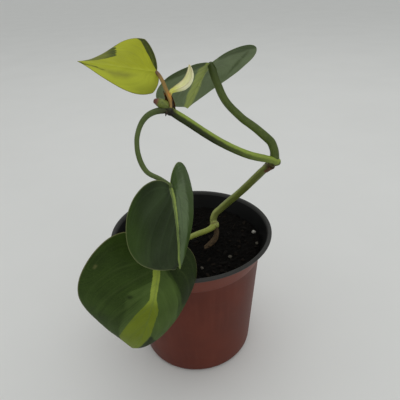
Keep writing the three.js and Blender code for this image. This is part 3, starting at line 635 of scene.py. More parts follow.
def leaf_masks(name, s, v):
    """Sectors of one blade, with painted shade on leaf 1's right lobe in the deep mask. s along the midrib, v out from
    it with the sign of the half. 0.5 is a sector's edge.
    """
    z = np.zeros(len(s))
    lime, medium, deep, bright, speck, sheen, grass = (z.copy() for _ in range(7))
    w3 = np.stack([s * 9, v * 9, z + 2.2], -1)
    s, v = s + 0.012 * fbm(w3, 3, 71), v + 0.010 * fbm(w3 + 5.5, 3, 72)
    if name == "leaf_1":
        left = [(-0.2, -0.02), (0.0, -0.05), (0.076, -0.051), (0.145, -0.046), (0.227, -0.044), (0.308, -0.037),
                (0.364, -0.07), (0.402, -0.093), (0.453, -0.12), (0.507, -0.138), (0.573, -0.156), (0.651, -0.166),
                (0.756, -0.171), (0.855, -0.149), (0.907, -0.09), (1.0, -0.03)]
        right = [(-0.2, 0.0), (0.0, 0.012), (0.072, 0.014), (0.143, 0.019), (0.224, 0.016), (0.306, 0.023),
                 (0.393, 0.058), (0.439, 0.064), (0.598, 0.062), (0.664, 0.064), (0.738, 0.06), (0.838, 0.05), (1, 0.02)]
        lime = band(s, v, left, right, 0.016) * smooth(s, -0.06, 0.0)
        outer_l = [(-0.1, 0.0), (0.1, -0.03), (0.155, -0.045), (0.186, -0.1), (0.224, -0.158), (0.247, -0.208),
                   (0.295, -0.236), (0.437, -0.234), (0.529, -0.238), (0.648, -0.221), (0.774, -0.184), (1, -0.1)]
        outer_r = [(-0.05, 0.0), (0.0, 0.025), (0.06, 0.057), (0.128, 0.112), (0.185, 0.16), (0.247, 0.205),
                   (0.315, 0.24), (0.381, 0.256), (0.444, 0.262), (0.561, 0.3), (0.687, 0.4), (1, 0.6)]
        medium = band(s, v, outer_l, outer_r, 0.045)
        to_edge = abs(v - np.interp(s, *np.array(outer_l).T))
        to_lime = abs(v - np.interp(s, *np.array(left).T))
        ridge = np.maximum(np.exp(-(to_edge / 0.035) ** 2) * smooth(s, 0.48, 0.25), np.exp(-(to_lime / 0.045) ** 2))
        medium = medium * np.where(v < 0, 0.52 + 0.48 * ridge, 1.0)
        deep = (band(s, v, [(0.66, 0.075), (0.70, 0.062), (1, 0.03)], [(0.66, 0.08), (0.74, 0.12), (0.8, 0.19), (1, 0.1)],
                     0.03) * smooth(s, 0.62, 0.70) * (v > 0)
                # painted shade: the right lobe beyond the medium sector is darkened
                + 0.85 * smooth(v - np.interp(s, *np.array(outer_r).T), 0.0, 0.06) * smooth(s, 0.5, 0.3)
                + 0.62 * np.exp(-((s - 0.295) ** 2 / 0.034 ** 2 + (v + 0.205) ** 2 / 0.05 ** 2)))
        bright = smooth(s, 0.40, 0.25)
        speck = np.exp(-((s - 0.084) ** 2 + (v + 0.513) ** 2) / 0.009 ** 2)
        medium = medium * (1 - 0.35 * smooth(s, 0.45, 0.8) * (v < 0)) * (1 - 0.5 * smooth(s, 0.12, 0.0) * (v < 0))
    elif name == "leaf_2":
        lime = band(s, v, [(-0.2, -0.03), (0.1, -0.012), (0.6, -0.022), (0.8, -0.036), (1, -0.02)],
                    [(-0.2, 0.0), (0.1, 0.042), (0.3, 0.03), (0.6, 0.012), (0.8, 0.008), (1, 0.01)], 0.012)
        medium = band(s, v, [(-0.2, 0.005), (0.1, 0.02), (1, -0.02)],
                      [(-0.2, 0.35), (0.0, 0.36), (0.237, 0.33), (0.359, 0.303), (0.459, 0.263), (0.564, 0.225),
                       (0.661, 0.183), (0.764, 0.141), (0.862, 0.087), (0.93, 0.045), (1, 0.02)], 0.075)
        deep = 0.46 * band(s, v, [(0, 0.06), (0.2, 0.085), (0.5, 0.07), (0.8, 0.03), (1, 0.0)],
                           [(0, 0.10), (0.2, 0.15), (0.5, 0.12), (0.8, 0.06), (1, 0.01)], 0.03) * smooth(s, 0.0, 0.15)
        medium = medium * (0.45 + 0.55 * smooth(s + 0.25 * v, 0.02, 0.22))
        medium = medium * np.clip(0.84 + 0.42 * fbm(np.stack([s * 5, v * 24, z + 6.6], -1), 3, 47), 0, 1)
        deep = np.maximum(deep, 0.8 * smooth(s, 0.80, 0.90) * smooth(-v, 0.012, 0.035))
        grass = smooth(v, 0.02, 0.06) + 0.62 * smooth(-v, 0.34, 0.60)
        sheen = 0.40 * np.exp(-((s + 0.30 * (v + 0.12)) / 0.09) ** 2) * smooth(v, -0.03, -0.12) * smooth(v, -0.52, -0.34)
        sheen = sheen + 0.16 * np.exp(-((s - 0.42 + 0.15 * v) / 0.12) ** 2) * (v < -0.02) * smooth(v, -0.02, -0.10)
        bright = smooth(s, 0.45, 0.2)
    elif name == "leaf_3":
        lime = band(s, v, [(-0.2, 0.05), (0.0, 0.028), (0.238, 0.0), (0.432, -0.03), (0.628, -0.05), (0.906, -0.04), (1, -0.02)],
                    [(-0.2, 0.1), (0.0, 0.125), (0.238, 0.115), (0.432, 0.11), (0.628, 0.118), (0.906, 0.095), (1, 0.02)], 0.05)
        medium = np.clip(0.75 + 0.35 * fbm(np.stack([s * 4, v * 7, z + 8.1], -1), 2, 44), 0, 1)
        deep = 0.85 * np.clip(0.5 + (-0.01 - s) / 0.16, 0, 1) * smooth(abs(v), 0.02, 0.1)
        deep = np.maximum(deep, 0.66 * band(s, v, [(-0.2, -0.42), (0.1, -0.46), (0.3, -0.44), (0.5, -0.36), (1, -0.2)],
                                            [(-0.2, -0.40), (0.1, -0.36), (0.3, -0.33), (0.5, -0.33), (1, -0.3)], 0.06))
        bright = smooth(s, 0.6, 0.3)
    else:
        lime = z + 1.0
        edge = np.interp(v, [-0.7, -0.547, -0.486, -0.385, -0.289, -0.196, -0.104, -0.031, 0.0],
                         [0.13, 0.114, 0.075, 0.053, 0.043, 0.031, 0.017, -0.005, -0.03])
        strip = np.clip(0.5 + (edge - s) / 0.03, 0, 1) * (v < -0.02)
        deep = np.clip(strip + smooth(s, edge - 0.06, edge - 0.12) * (v < -0.02) * 0.5, 0, 1)
        wedge = band(s, v, [(0.3, -2), (1, -2)], [(0.3, -0.9), (0.42, -0.52), (0.445, -0.42), (0.483, -0.246), (0.589, -0.196),
                                                  (0.72, -0.13), (0.853, -0.066), (1, -0.004)], 0.02)
        wedge = wedge * smooth(s + 0.11 * fbm(np.stack([s * 4, v * 44, z + 1.7], -1), 2, 33), 0.42, 0.50)
        line = np.interp(s, [0.1, 0.277, 0.437, 0.563, 0.68, 0.797, 0.919, 1.0],
                         [0.06, 0.065, 0.083, 0.087, 0.058, 0.041, 0.023, 0.0])
        blotch = 0.9 + 0.4 * fbm(np.stack([s * 9, v * 30, z + 4.4], -1), 3, 36)
        stripe = np.exp(-((v - line) / np.interp(s, [0, 0.45, 0.6, 0.75, 1], [0.022, 0.040, 0.034, 0.016, 0.012])) ** 2) * np.interp(
            s, [0.15, 0.33, 0.42, 0.60, 0.68, 0.95, 1], [0, 0.30, 0.95, 0.9, 0.7, 0.85, 0.6]) * np.clip(blotch, 0, 1)
        stripe = np.clip(stripe, 0, 1)
        core = stripe * smooth(s, 0.60, 0.70)
        lime = np.clip(lime - np.maximum(wedge, 0.85 * core), 0, 1)
        speck = 0.95 * stripe * (1 - 0.5 * core)
        medium = np.clip(wedge * (0.36 + 0.34 * smooth(s, 0.50, 0.72)) + 0.45 * core, 0, 1)
        bright = smooth(v, -0.06, 0.06)
        sheen = 0.9 * smooth(v, 0.10, 0.24) * smooth(s, 0.50, 0.15)
    return lime, medium, deep, bright, speck, sheen, grass


WAVE = {"leaf_1": (0.30, 0.16), "leaf_2": (0.24, 0.14), "leaf_3": (0.26, 0.15), "leaf_4": (0.12, 0.12)}
THICK = {"leaf_1": 0.46, "leaf_2": 0.44, "leaf_3": 0.46, "leaf_4": 0.36}


def blade(name, around=264, rings=60):
    q = LEAVES[name]
    surf = blade_surface(q)
    length = q["length"]
    u = np.arange(around) / around
    side_u = np.where(u <= 0.5, -1.0, 1.0)
    w = np.where(u <= 0.5, 2 * u, 2 - 2 * u)
    fine = uniform_spline(OUTLINE, 1401)
    o = np.stack([np.interp(w, np.linspace(0, 1, 1401), fine[:, k]) for k in range(2)], -1)
    rad = np.linspace(0, 1, rings + 1)[1:] ** 0.9
    rr = np.repeat(rad, around)
    s_n = 0.3 + rr * (np.tile(o[:, 0], rings) - 0.3)          # leaf units, both half widths 1
    v_n = np.maximum(0, rr * np.tile(o[:, 1], rings))
    side = np.tile(side_u, rings)
    s_n = np.r_[0.3, s_n]
    v_n = np.r_[0.0, v_n]
    side = np.r_[1.0, side]
    rr = np.r_[0.0, rr]
    # the CAD blade scales the outline first and its rays after, so the same order is kept here
    ow = np.where(side_u > 0, q["width"][0], q["width"][1]) * o[:, 1]
    os_ = np.where(o[:, 0] < 0, o[:, 0] * q["lobe"], o[:, 0])
    if name == "leaf_2":          # the left half rounds off and leaves the drip tip to the midrib and the right half
        os_ = os_ - (side_u < 0) * smooth(os_, 0.84, 0.93) * (0.05 * np.exp(-((ow - 0.042) / 0.026) ** 2)
                                                               - 0.012 * np.exp(-((ow - 0.13) / 0.05) ** 2))
    s = np.r_[0.3, 0.3 + np.repeat(rad, around) * (np.tile(os_, rings) - 0.3)]
    v = np.r_[0.0, np.maximum(0, np.repeat(rad, around) * np.tile(ow, rings))]
    mid, normal = surf(s, v, side)
    dist, fade, psi = vein_fields(s_n, v_n)
    width_mm = length * np.where(side > 0, q["width"][0], q["width"][1])
    d_mm = dist * 0.5 * (length + width_mm)
    m_mm = v * length
    edge_mm = (1 - rr) * np.r_[length * 0.5, np.tile(length * np.hypot(os_ - 0.3, ow), rings)]
    # broad quilting between the side veins, a slight wave of the margin, and a soft midrib valley
    wave, quilt = WAVE[name]
    lift = quilt * (1 - np.exp(-(d_mm / 1.9) ** 2)) * smooth(edge_mm, 0.0, 3.0) * fade
    ripple = fbm(np.stack([s * 5.5, v * side * 5.5, s * 0 + 3.7], -1), 2, 5) * wave * smooth(rr, 0.35, 1.0)
    crease = 0.12 if name == "leaf_4" else 1.0
    valley = -0.22 * crease * np.exp(-(m_mm / 1.5) ** 2) * smooth(edge_mm, 0.0, 3.0)
    mid = mid + normal * (lift + ripple + valley)[:, None]
    # vein relief on each face: grooves above, ribs below
    rib_w = np.interp(s, [-0.1, 0, 0.5, 1], [1.0, 0.95, 0.6, 0.2])
    rib = np.exp(-(m_mm / rib_w) ** 2) * smooth(s, -0.02, 0.02)
    side_rib = np.exp(-(d_mm / 0.42) ** 2) * fade
    half = THICK[name] / 2 * np.sqrt(np.clip(1 - rr ** 14, 0, 1))
    up = half - (0.09 * crease * rib + 0.035 * side_rib) * smooth(edge_mm, 0.2, 1.2)
    dn = half + (0.34 * np.interp(s, [0, 0.3, 1], [1.25, 1, 0.25]) * rib + 0.07 * side_rib) * smooth(edge_mm, 0.2, 1.2)
    top = mid + normal * up[:, None]
    bot = mid - normal * dn[:, None]
    n_all = len(s)
    inner = n_all - around            # the outermost ring is shared by both faces
    verts = np.vstack([top, bot[:inner]])
    faces = []
    for j in range(around):
        k = (j + 1) % around
        faces.append((0, 1 + j, 1 + k))
        faces.append((n_all, n_all + 1 + k, n_all + 1 + j))
    for i in range(rings - 1):
        a, b = 1 + i * around, 1 + (i + 1) * around
        for j in range(around):
            k = (j + 1) % around
            faces.append((a + j, b + j, b + k, a + k))
            ja, ka = n_all + a + j, n_all + a + k
            jb = n_all + b + j if i < rings - 2 else b + j
            kb = n_all + b + k if i < rings - 2 else b + k
            faces.append((ja, ka, kb, jb))
    sv = v * side
    lime, medium, deep, bright, speck, sheen, grass = leaf_masks(name, s, sv)
    margin = smooth(edge_mm, 0.42, 0.12) * 0.8
    both = lambda a: np.r_[a, a[:inner]]
    attributes = {
        "leafuv": np.vstack([np.stack([s, sv, psi * side], -1)] + [np.stack([s, sv, psi * side], -1)[:inner]]),
        "lime": both(lime), "medium": both(medium), "deep": both(deep), "bright": both(bright), "speck": both(speck), "sheen": both(sheen),
        "grass": both(grass),
        "margin": both(margin), "vein": both(side_rib), "midrib": both(np.exp(-(m_mm / (0.55 * rib_w)) ** 2) * smooth(s, -0.03, 0.0) * (0.25 if name == "leaf_4" else 0.35 if name == "leaf_1" else 1.0)),
        "under": np.r_[np.where(rr > 0.999, 0.5, 0.0), np.ones(inner)],
    }
    return build(name + "_blade", verts, faces, LEAF_MATERIALS[name], attributes)


for name in LEAVES:
    ob = blade(name)
    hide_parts(name)
    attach(ob, "root")


# ------------------------------------------------------------------ stalks
def stalk_material(name, base, light, dark, rough=0.42, foot=None, tip=None, node=None):
    n = Nodes(name)
    pos = n.position()
    along, round_ = n.attr("along"), n.attr("round")
    fibre = n.noise(n.scaled(n.attr("stalkuv", "Vector"), (60.0, 3.0, 1.0)), 1.0, 3, 0.6)
    broad = n.noise(pos, 160.0, 2)
    color = n.mix(n.step(fibre, 0.3, 0.72), n.mix(broad, dark, base), n.mix(broad, base, light))
    color = n.mix(n.math("MULTIPLY", round_, 0.35), color, light)
    if foot is not None:
        color = n.mix(n.step(along, 0.16, 0.0), color, foot)
    if tip is not None:
        color = n.mix(n.step(along, 0.8, 1.0), color, tip)
    if node is not None:
        # painted shade: dark brown on the flanks of the foot inside the dry sheath
        color = n.mix(n.attr("shaded_flank"), color, node[0])
        color = n.mix(n.attr("wedge"), color, node[1])
    fleck = n.step(n.voronoi(pos, 1500.0), 0.12, 0.05)
    color = n.mix(n.math("MULTIPLY", fleck, 0.25), color, light)
    normal = n.bump(n.math("ADD", fibre, n.math("MULTIPLY", n.voronoi(pos, 3200.0), 0.3)), 0.22, 0.00006)
    return n.finish(color, n.math("ADD", rough - 0.08, n.math("MULTIPLY", fibre, 0.16)), normal, Specular_IOR_Level=0.26)


STALK_LOOKS = {
    "petiole_1": ("stalk_yellow_green", stalk_material("stalk_1_skin", srgb(142, 152, 66), srgb(166, 174, 88), srgb(116, 128, 52))),
    "petiole_2": ("stalk_dark_olive", stalk_material("stalk_2_skin", srgb(76, 92, 42), srgb(98, 114, 58), srgb(54, 68, 28),
                                                     foot=srgb(58, 62, 34))),
    "petiole_3": ("stalk_olive", stalk_material("stalk_3_skin", srgb(72, 88, 34), srgb(98, 112, 50), srgb(46, 58, 20),
                                                tip=srgb(58, 72, 28))),
    # petiole 4: node holds the painted shade colour of the foot's flanks and the orange of the wedge
    "petiole_4": ("stalk_tan", stalk_material("stalk_4_skin", srgb(152, 122, 60), srgb(180, 148, 98), srgb(112, 86, 42),
                                              foot=srgb(188, 146, 96), tip=srgb(116, 90, 66), rough=0.5,
                                              node=(srgb(40, 24, 12), srgb(206, 138, 54)))),
}


GROOVE = 0.0


def stalk(name):
    line, radii = STALKS[name]
    wider = {"petiole_1": (1.12,), "petiole_3": (1.07, 1.18, 1.42)}.get(name, (1.0,))
    radii = [r * wider[min(i, len(wider) - 1)] for i, r in enumerate(radii)]
    slot, mat = STALK_LOOKS[name]
    r = through(radii)
    big = name in ("petiole_2", "petiole_3")
    foot_swell = {"petiole_1": 0.22, "petiole_2": 0.28, "petiole_3": 0.25, "petiole_4": 0.1}[name]

    def radius(t):
        swell = foot_swell * math.exp(-(t / 0.06) ** 2)
        knee = 0.10 * math.exp(-((t - 0.965) / 0.03) ** 2) if big or name == "petiole_1" else 0.0
        return (r(t) + swell + knee) * (1 - 0.22 * smooth(t, 0.94, 1.0) * (name == "petiole_3"))

    def shape(t, ang, centre):
        groove = -0.10 * np.exp(-((np.angle(np.exp(1j * (ang - 1.2)))) / 0.5) ** 2)
        if name == "petiole_3":
            face = np.exp(-((np.angle(np.exp(1j * (ang - GROOVE)))) / 0.42) ** 2)
            groove = groove - 0.30 * face * smooth(t, 0.45, 0.8)
        wobble = 0.05 * np.sin(2 * ang + 9 * t) + 0.04 * fbm(np.stack(
            [np.cos(ang) * 0.8 + centre[0] * 0.25, np.sin(ang) * 0.8 + centre[1] * 0.25, ang * 0 + centre[2] * 0.25], -1), 2, 3)
        return groove + wobble
    v, f, t, a = tube(line, radius, around=28, step=0.4, shape=shape, extend=(0.0, 0.35))
    attributes = {"along": t, "round": 0.5 + 0.5 * np.cos(a - 2.4), "stalkuv": np.stack([a / (2 * np.pi), t * 10, t * 0], -1)}
    if name == "petiole_4":       # painted shade on the flanks at the foot, where it sits in the dry sheath, and the orange wedge above them
        z = v[:, 2]
        off = v[:, 0] - np.interp(z, [157.2, 159.8, 161.7, 163.2, 164.7], [-4.0, -3.9, -4.3, -4.8, -5.4])
        edge = np.interp(z, [157.5, 160.0, 162.5], [0.22, 0.42, 0.8])
        attributes["shaded_flank"] = smooth(abs(off) - edge, 0.0, 0.25) * smooth(z, 163.0, 161.6)
        attributes["wedge"] = 0.9 * np.exp(-((z - 163.0) / 1.3) ** 2) * smooth(off, -0.5, 0.5)
    ob = build(name + "_stalk", v, f, mat, attributes)
    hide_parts(name)
    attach(ob, "root")


for name in STALKS:
    stalk(name)


# ------------------------------------------------------------------ green shoot: two stem lengths grown together at the knots
def shoot():
    lower, upper = curve(SHOOT_LOWER, 140), curve(SHOOT_UPPER, 150)
    parts = [tube(SHOOT_LOWER, lambda t: 1.66 + 0.22 * smooth(t, 0.93, 0.80) + 0.12 * math.exp(-((1 - t) / 0.08) ** 2), 24, 0.5),
             tube(SHOOT_UPPER, lambda t: 1.60 + 0.15 * smooth(t, 0.05, 0.2) * smooth(t, 0.96, 0.85) + 0.12 * math.exp(-(t / 0.06) ** 2), 24, 0.5)]
    v, f = [], []
    at = 0
    for p in parts:
        v.append(p[0])
        f += [tuple(i + at for i in face) for face in p[1]]
        at += len(p[0])
    for centre, r in KNOTS:
        bm = bmesh.new()
        bmesh.ops.create_icosphere(bm, subdivisions=4, radius=r * (0.86 if centre[0] > 40 else 1.2 if centre[2] < 100 else 0.98))
        v.append(np.array([x.co for x in bm.verts]) + np.array(centre))
        f += [tuple(x.index + at for x in face.verts) for face in bm.faces]
        at += len(bm.verts)
        bm.free()
    ob = build("green_shoot", np.vstack(v), f, None)
    m = ob.modifiers.new("remesh", "REMESH")
    m.mode = "VOXEL"
    m.voxel_size = 0.00030
    m.use_smooth_shade = True
    apply_modifiers(ob)
    m = ob.modifiers.new("smooth", "SMOOTH")
    m.factor, m.iterations = 0.5, 9
    apply_modifiers(ob)
    co = coords(ob) / MM
    both = np.vstack([lower, upper])
    along = np.r_[np.linspace(0, 1, len(lower)), 1 + np.linspace(0, 1, len(upper))]
    index = np.zeros(len(co), int)
    for k in range(0, len(co), 4000):
        d = ((co[k:k + 4000, None, :] - both[None]) ** 2).sum(-1)
        index[k:k + 4000] = d.argmin(1)
    tt = along[index]
    out = unit(co - both[index])
    knot = np.zeros(len(co))
    for centre, r in KNOTS:
        knot = np.maximum(knot, np.exp(-(np.maximum(np.linalg.norm(co - np.array(centre), axis=1) - r, 0) / 1.6) ** 2))
    # ring scars just before each knot, ridges along the stem
    ring = 0.8 * np.exp(-((tt - 0.935) / 0.006) ** 2) + np.exp(-((tt - 0.03) / 0.008) ** 2) \
        + 0.8 * np.exp(-((tt - 1.955) / 0.006) ** 2)
    tang = unit(np.gradient(both, axis=0))[index]
    ref = unit(np.cross(tang, np.array([0.31, 0.2, 0.93])))
    other = np.cross(tang, ref)
    ang = np.arctan2((out * other).sum(1), (out * ref).sum(1))
    move = 0.13 + 0.10 * ring + 0.035 * np.sin(5 * ang + 3 * tt) * (1 - knot) + 0.07 * fbm(co * 0.35, 3, 9) \
        + 0.10 * knot * fbm(co * 0.8, 2, 21)
    me = ob.data
    co = co + out * move[:, None]
    me.vertices.foreach_set("co", (co * MM).astype(np.float32).ravel())
    me.update()
    set_attribute(ob, "along", tt)
    set_attribute(ob, "knot", knot)
    set_attribute(ob, "ring", ring)
    # painted highlight: how far the surface faces up, used to lighten the top side
    set_attribute(ob, "top", 0.5 + 0.5 * out[:, 2])
    low_side = smooth(-(out @ np.array([0.05, 0.49, 0.87])) + 0.10 * fbm(co * 0.5, 2, 13), -0.10, 0.34)
    set_attribute(ob, "shaded", low_side * np.where(
        tt > 1, np.interp(tt, [1.0, 1.1, 1.35, 1.6], [0.0, 0.4, 0.8, 1.0]), 0.5))
    # dry brown wrap at the top end of the lower length, just under the elbow, and painted shade on the upper node: its
    # underside, facing down and forward, goes near-black brown
    wrap = smooth(tt, 0.87, 0.93) * (tt < 1.0) + smooth(tt, 1.91, 1.96) * smooth(
        out @ np.array([0.1, -0.75, -0.66]), -0.30, 0.25)
    set_attribute(ob, "wrap", wrap * np.clip(0.75 + 0.5 * fbm(co * 1.1, 2, 51), 0, 1))
    a = me.attributes.new("stemuv", "FLOAT_VECTOR", "POINT")
    a.data.foreach_set("vector", np.stack([ang / (2 * np.pi), tt * 12, tt * 0], -1).astype(np.float32).ravel())

    n = Nodes("green_shoot_skin")
    pos = n.position()
    uv = n.attr("stemuv", "Vector")
    fibre = n.noise(n.scaled(uv, (22.0, 1.6, 1.0)), 1.0, 3, 0.6)
    broad = n.noise(pos, 130.0, 2)
    al = n.attr("along")
    low_c = n.mix(n.step(fibre, 0.3, 0.7), srgb(100, 112, 40), srgb(128, 138, 60))
    low_c = n.mix(n.step(al, 0.42, 0.1), low_c, srgb(152, 160, 84))
    up_c = n.mix(n.step(fibre, 0.3, 0.7), srgb(112, 136, 38), srgb(138, 160, 60))
    color = n.mix(n.step(al, 0.985, 1.015), low_c, up_c)
    color = n.mix(n.math("MULTIPLY", n.step(broad, 0.45, 0.7), 0.3), color, srgb(96, 104, 40))
    # painted highlight on the upward-facing side of the stem
    color = n.mix(n.math("MULTIPLY", n.attr("top"), 0.22), color, srgb(178, 190, 104))
    color = n.mix(n.math("MULTIPLY", n.attr("ring"), 0.6), color, srgb(92, 70, 40))
    color = n.mix(n.math("MULTIPLY", n.math("MULTIPLY", n.attr("knot"), n.step(n.noise(pos, 700.0, 3), 0.45, 0.7)), 0.55),
                  color, srgb(96, 80, 40))
    fleck = n.step(n.voronoi(n.scaled(uv, (14.0, 16.0, 1.0)), 1.0), 0.16, 0.05)
    color = n.mix(n.math("MULTIPLY", fleck, 0.22), color, srgb(192, 196, 130))
    color = n.mix(n.math("MULTIPLY", n.attr("shaded"), 0.92), color, n.mix(fibre, srgb(12, 17, 3), srgb(27, 35, 8)))
    # the dry brown wrap below the elbow, and near-black painted shade on the upper node's underside
    color = n.mix(n.math("MULTIPLY", n.attr("wrap"), 0.94), color, n.mix(
        n.step(al, 1.4, 1.6), n.mix(fibre, srgb(34, 24, 12), srgb(84, 52, 30)), n.mix(fibre, srgb(11, 7, 4), srgb(32, 19, 12))))
    normal = n.bump(n.math("ADD", fibre, n.math("MULTIPLY", n.voronoi(pos, 3000.0), 0.3)), 0.22, 0.00007)
    me.materials.clear()
    me.materials.append(n.finish(color, n.math("ADD", 0.36, n.math("MULTIPLY", fibre, 0.14)), normal, Specular_IOR_Level=0.28))
    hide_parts("vine_stem")
    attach(ob, "root")


shoot()


# ------------------------------------------------------------------ brown cutting with its roots
def cutting():
    r = through([1.5, 1.7, 1.75, 1.75, 1.7])

    def bark(t, ang, centre):
        p3 = np.stack([np.cos(ang) * 2.2 + centre[0] * 0.5, np.sin(ang) * 2.2 + centre[1] * 0.5, ang * 0 + centre[2] * 0.5], -1)
        return 0.16 * fbm(p3, 3, 31) + 0.06 * np.sin(6 * ang + 4 * t)
    parts = [tube(CUTTING, lambda t: r(t) - 0.05, 32, 0.4, shape=bark, extend=(0.5, 0.0))]
    for k, line in enumerate(ROOTS):
        parts.append(tube(line, lambda t: 0.75 * (1 - 0.55 * t), 12, 0.8,
                          shape=lambda t, ang, c: 0.10 * fbm(np.stack([np.cos(ang) + c[0] * 0.6, np.sin(ang) + c[1] * 0.6,
                                                                       ang * 0 + c[2] * 0.6], -1), 2, 40)))
    v, f, t, a = merge(parts)
    n = Nodes("old_bark")
    pos = n.position()
    uv = n.scaled(n.attr("stalkuv", "Vector"), (18.0, 3.0, 1.0))
    fibre = n.noise(uv, 1.0, 4, 0.65)
    color = n.mix(n.step(fibre, 0.28, 0.72), srgb(48, 36, 22), srgb(92, 74, 50))
    color = n.mix(n.math("MULTIPLY", n.step(n.noise(pos, 900.0, 3), 0.5, 0.72), 0.6), color, srgb(32, 23, 16))
    normal = n.bump(n.math("ADD", fibre, n.noise(pos, 2200.0, 3)), 0.6, 0.00015)
    ob = build("cutting_and_roots", v, f, n.finish(color, 0.82, normal, Specular_IOR_Level=0.3),
               {"along": t, "stalkuv": np.stack([a / (2 * np.pi), t * 6, t * 0], -1)})
    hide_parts("old_cutting")
    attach(ob, "root")


cutting()


# ------------------------------------------------------------------ thin sheaths: sheets bent round a line, with a real thickness
def sheath(name, line, width, span, facing, thickness, material, node, ragged=0.0, seed=0, keel=0.0, step=0.28,
           around=44, span_at=None, push=None):
    length = np.linalg.norm(np.diff(curve(line, 200), axis=0), axis=1).sum()
    n_rows = max(10, int(length / step))
    c = curve(line, n_rows)
    t, u, w = transport(c, np.asarray(facing, float))
    ts = np.linspace(0, 1, n_rows)
    rows_o, rows_i, tt, ss = [], [], [], []
    x = np.linspace(-1, 1, around)
    for i in range(n_rows):
        r = width(ts[i])
        sp = (span_at(ts[i]) if span_at else span)
        ang = x * sp / 2
        r_o = np.full(around, r) + keel * np.exp(-(x / 0.12) ** 2) + keel * 0.6 * np.exp(-((abs(x) - 0.55) / 0.08) ** 2)
        p3 = np.stack([x * 3.1 + 2, np.full(around, ts[i] * 9), np.full(around, seed * 1.7)], -1)
        r_o = r_o + 0.10 * fbm(p3, 3, seed) * min(1.0, r)
        thick = thickness * (1 - 0.55 * smooth(abs(x), 0.75, 1.0)) * (0.5 + 0.5 * smooth(ts[i], 1.0, 0.85))
        dirs = np.cos(ang)[:, None] * u[i] + np.sin(ang)[:, None] * w[i]
        shift = np.zeros((around, 3))
        if ragged:
            tear = (noise(np.stack([x * 5 + seed, x * 0 + seed, x * 0], -1), seed) - 0.35) * ragged
            shift = (tear * smooth(ts[i], 0.55, 1.0))[:, None] * t[i]
        base = c[i] + (push(ts[i]) if push else 0)
        rows_o.append(base + dirs * r_o[:, None] + shift)
        rows_i.append(base + dirs * (r_o - thick)[:, None] + shift)
        tt.append(np.full(around, ts[i]))
        ss.append(x)
    o, ins = np.vstack(rows_o), np.vstack(rows_i)
    m = len(o)
    faces = grid_faces(n_rows, around, wrap=False) + [tuple(reversed(f)) for f in grid_faces(n_rows, around, wrap=False, offset=m)]
    for i in range(n_rows - 1):
        for j in (0, around - 1):
            a, b = i * around + j, (i + 1) * around + j
            faces.append((a, m + a, m + b, b))
    for i in (0, n_rows - 1):
        for j in range(around - 1):
            a, b = i * around + j, i * around + j + 1
            faces.append((a, b, m + b, m + a))
    tt, ss = np.concatenate(tt), np.concatenate(ss)
    ob = build(name, np.vstack([o, ins]), faces, material,
               {"along": np.r_[tt, tt], "across": np.r_[ss, ss], "inside": np.r_[np.zeros(m), np.ones(m)],
                "stalkuv": np.vstack([np.stack([ss, tt * 3, tt * 0], -1)] * 2)})
    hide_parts(node)
    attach(ob, "root")
    return ob


n = Nodes("pale_sheath_skin")
pos = n.position()
al, ac = n.attr("along"), n.attr("across")
fibre = n.noise(n.scaled(n.attr("stalkuv", "Vector"), (13.0, 1.2, 1.0)), 1.0, 3, 0.6)
color = n.mix(n.step(fibre, 0.3, 0.7), srgb(236, 236, 180), srgb(252, 250, 214))
color = n.mix(n.step(al, 0.44, 0.16), color, srgb(218, 222, 96))
color = n.mix(n.step(al, 0.14, 0.03), color, srgb(196, 140, 46))
color = n.mix(n.math("MULTIPLY", n.step(al, 0.72, 1.0), 0.7), color, srgb(232, 218, 186))
color = n.mix(n.math("MULTIPLY", n.attr("inside"), 0.25), color, srgb(220, 224, 164))
color = n.mix(n.math("MULTIPLY", n.step(n.math("ABSOLUTE", ac, 0.0), 0.86, 1.0), 0.5), color, srgb(176, 158, 112))
pale_sheath = n.finish(color, n.math("ADD", 0.42, n.math("MULTIPLY", fibre, 0.14)),
                       n.bump(fibre, 0.45, 0.00012), Specular_IOR_Level=0.42)
CATAPHYLL_LINE = [(-4.5, -27.5, 162.3)] + [(x, y, z + dz) for (x, y, z), dz in
                                            zip(CATAPHYLL, (0.6, 0.7, 0.75, 0.7, 0.55, 0.35, 0.15, 0.0, 0.0))]
sheath("cataphyll_sheath", CATAPHYLL_LINE, through((0.75, 0.85, 1.3, 1.9, 2.35, 2.4, 2.2, 1.75, 1.05, 0.3)), 3.5,
       (0.35, 0.25, -1), 0.40, pale_sheath, "cataphyll", seed=3, keel=0.12, step=0.24, around=60,
       span_at=lambda t: 3.7 - 0.5 * t)


def dry_material(name, dark, light, warm):
    n = Nodes(name)
    pos = n.position()
    fibre = n.noise(n.scaled(n.attr("stalkuv", "Vector"), (16.0, 1.5, 1.0)), 1.0, 4, 0.65)
    color = n.mix(n.step(fibre, 0.3, 0.7), dark, light)
    color = n.mix(n.math("MULTIPLY", n.step(n.noise(pos, 520.0, 3), 0.45, 0.7), 0.6), color, warm)
    return n.finish(color, 0.75, n.bump(n.math("ADD", fibre, n.noise(pos, 2400.0, 2)), 0.6, 0.00015), Specular_IOR_Level=0.3)


SHEATH = [(-4.3, -28.2, 157.3), (-4.3, -27.9, 159.6), (-4.6, -27.2, 161.5), (-5.0, -26.6, 163.0), (-5.5, -26.1, 164.3)]
sheath("dry_stalk_sheath", SHEATH, through([2.15, 2.05, 1.75, 1.45, 1.15]), 3.9, (-0.30, 0.95, 0.15), 0.28,
       dry_material("dry_sheath_skin", srgb(40, 22, 10), srgb(92, 58, 30), srgb(176, 122, 50)), "dried_sheath",
       ragged=1.1, seed=7, step=0.2, around=56, span_at=lambda t: 3.9 - 0.9 * t)
sheath("dry_elbow_collar", COLLAR, through([2.1, 2.3, 2.5]), 4.2, (0.6, 0.35, -0.7), 0.3,
       dry_material("dry_collar_skin", srgb(44, 28, 18), srgb(104, 72, 44), srgb(128, 76, 52)), "dried_collar",
       ragged=0.7, seed=11, step=0.2, around=60)


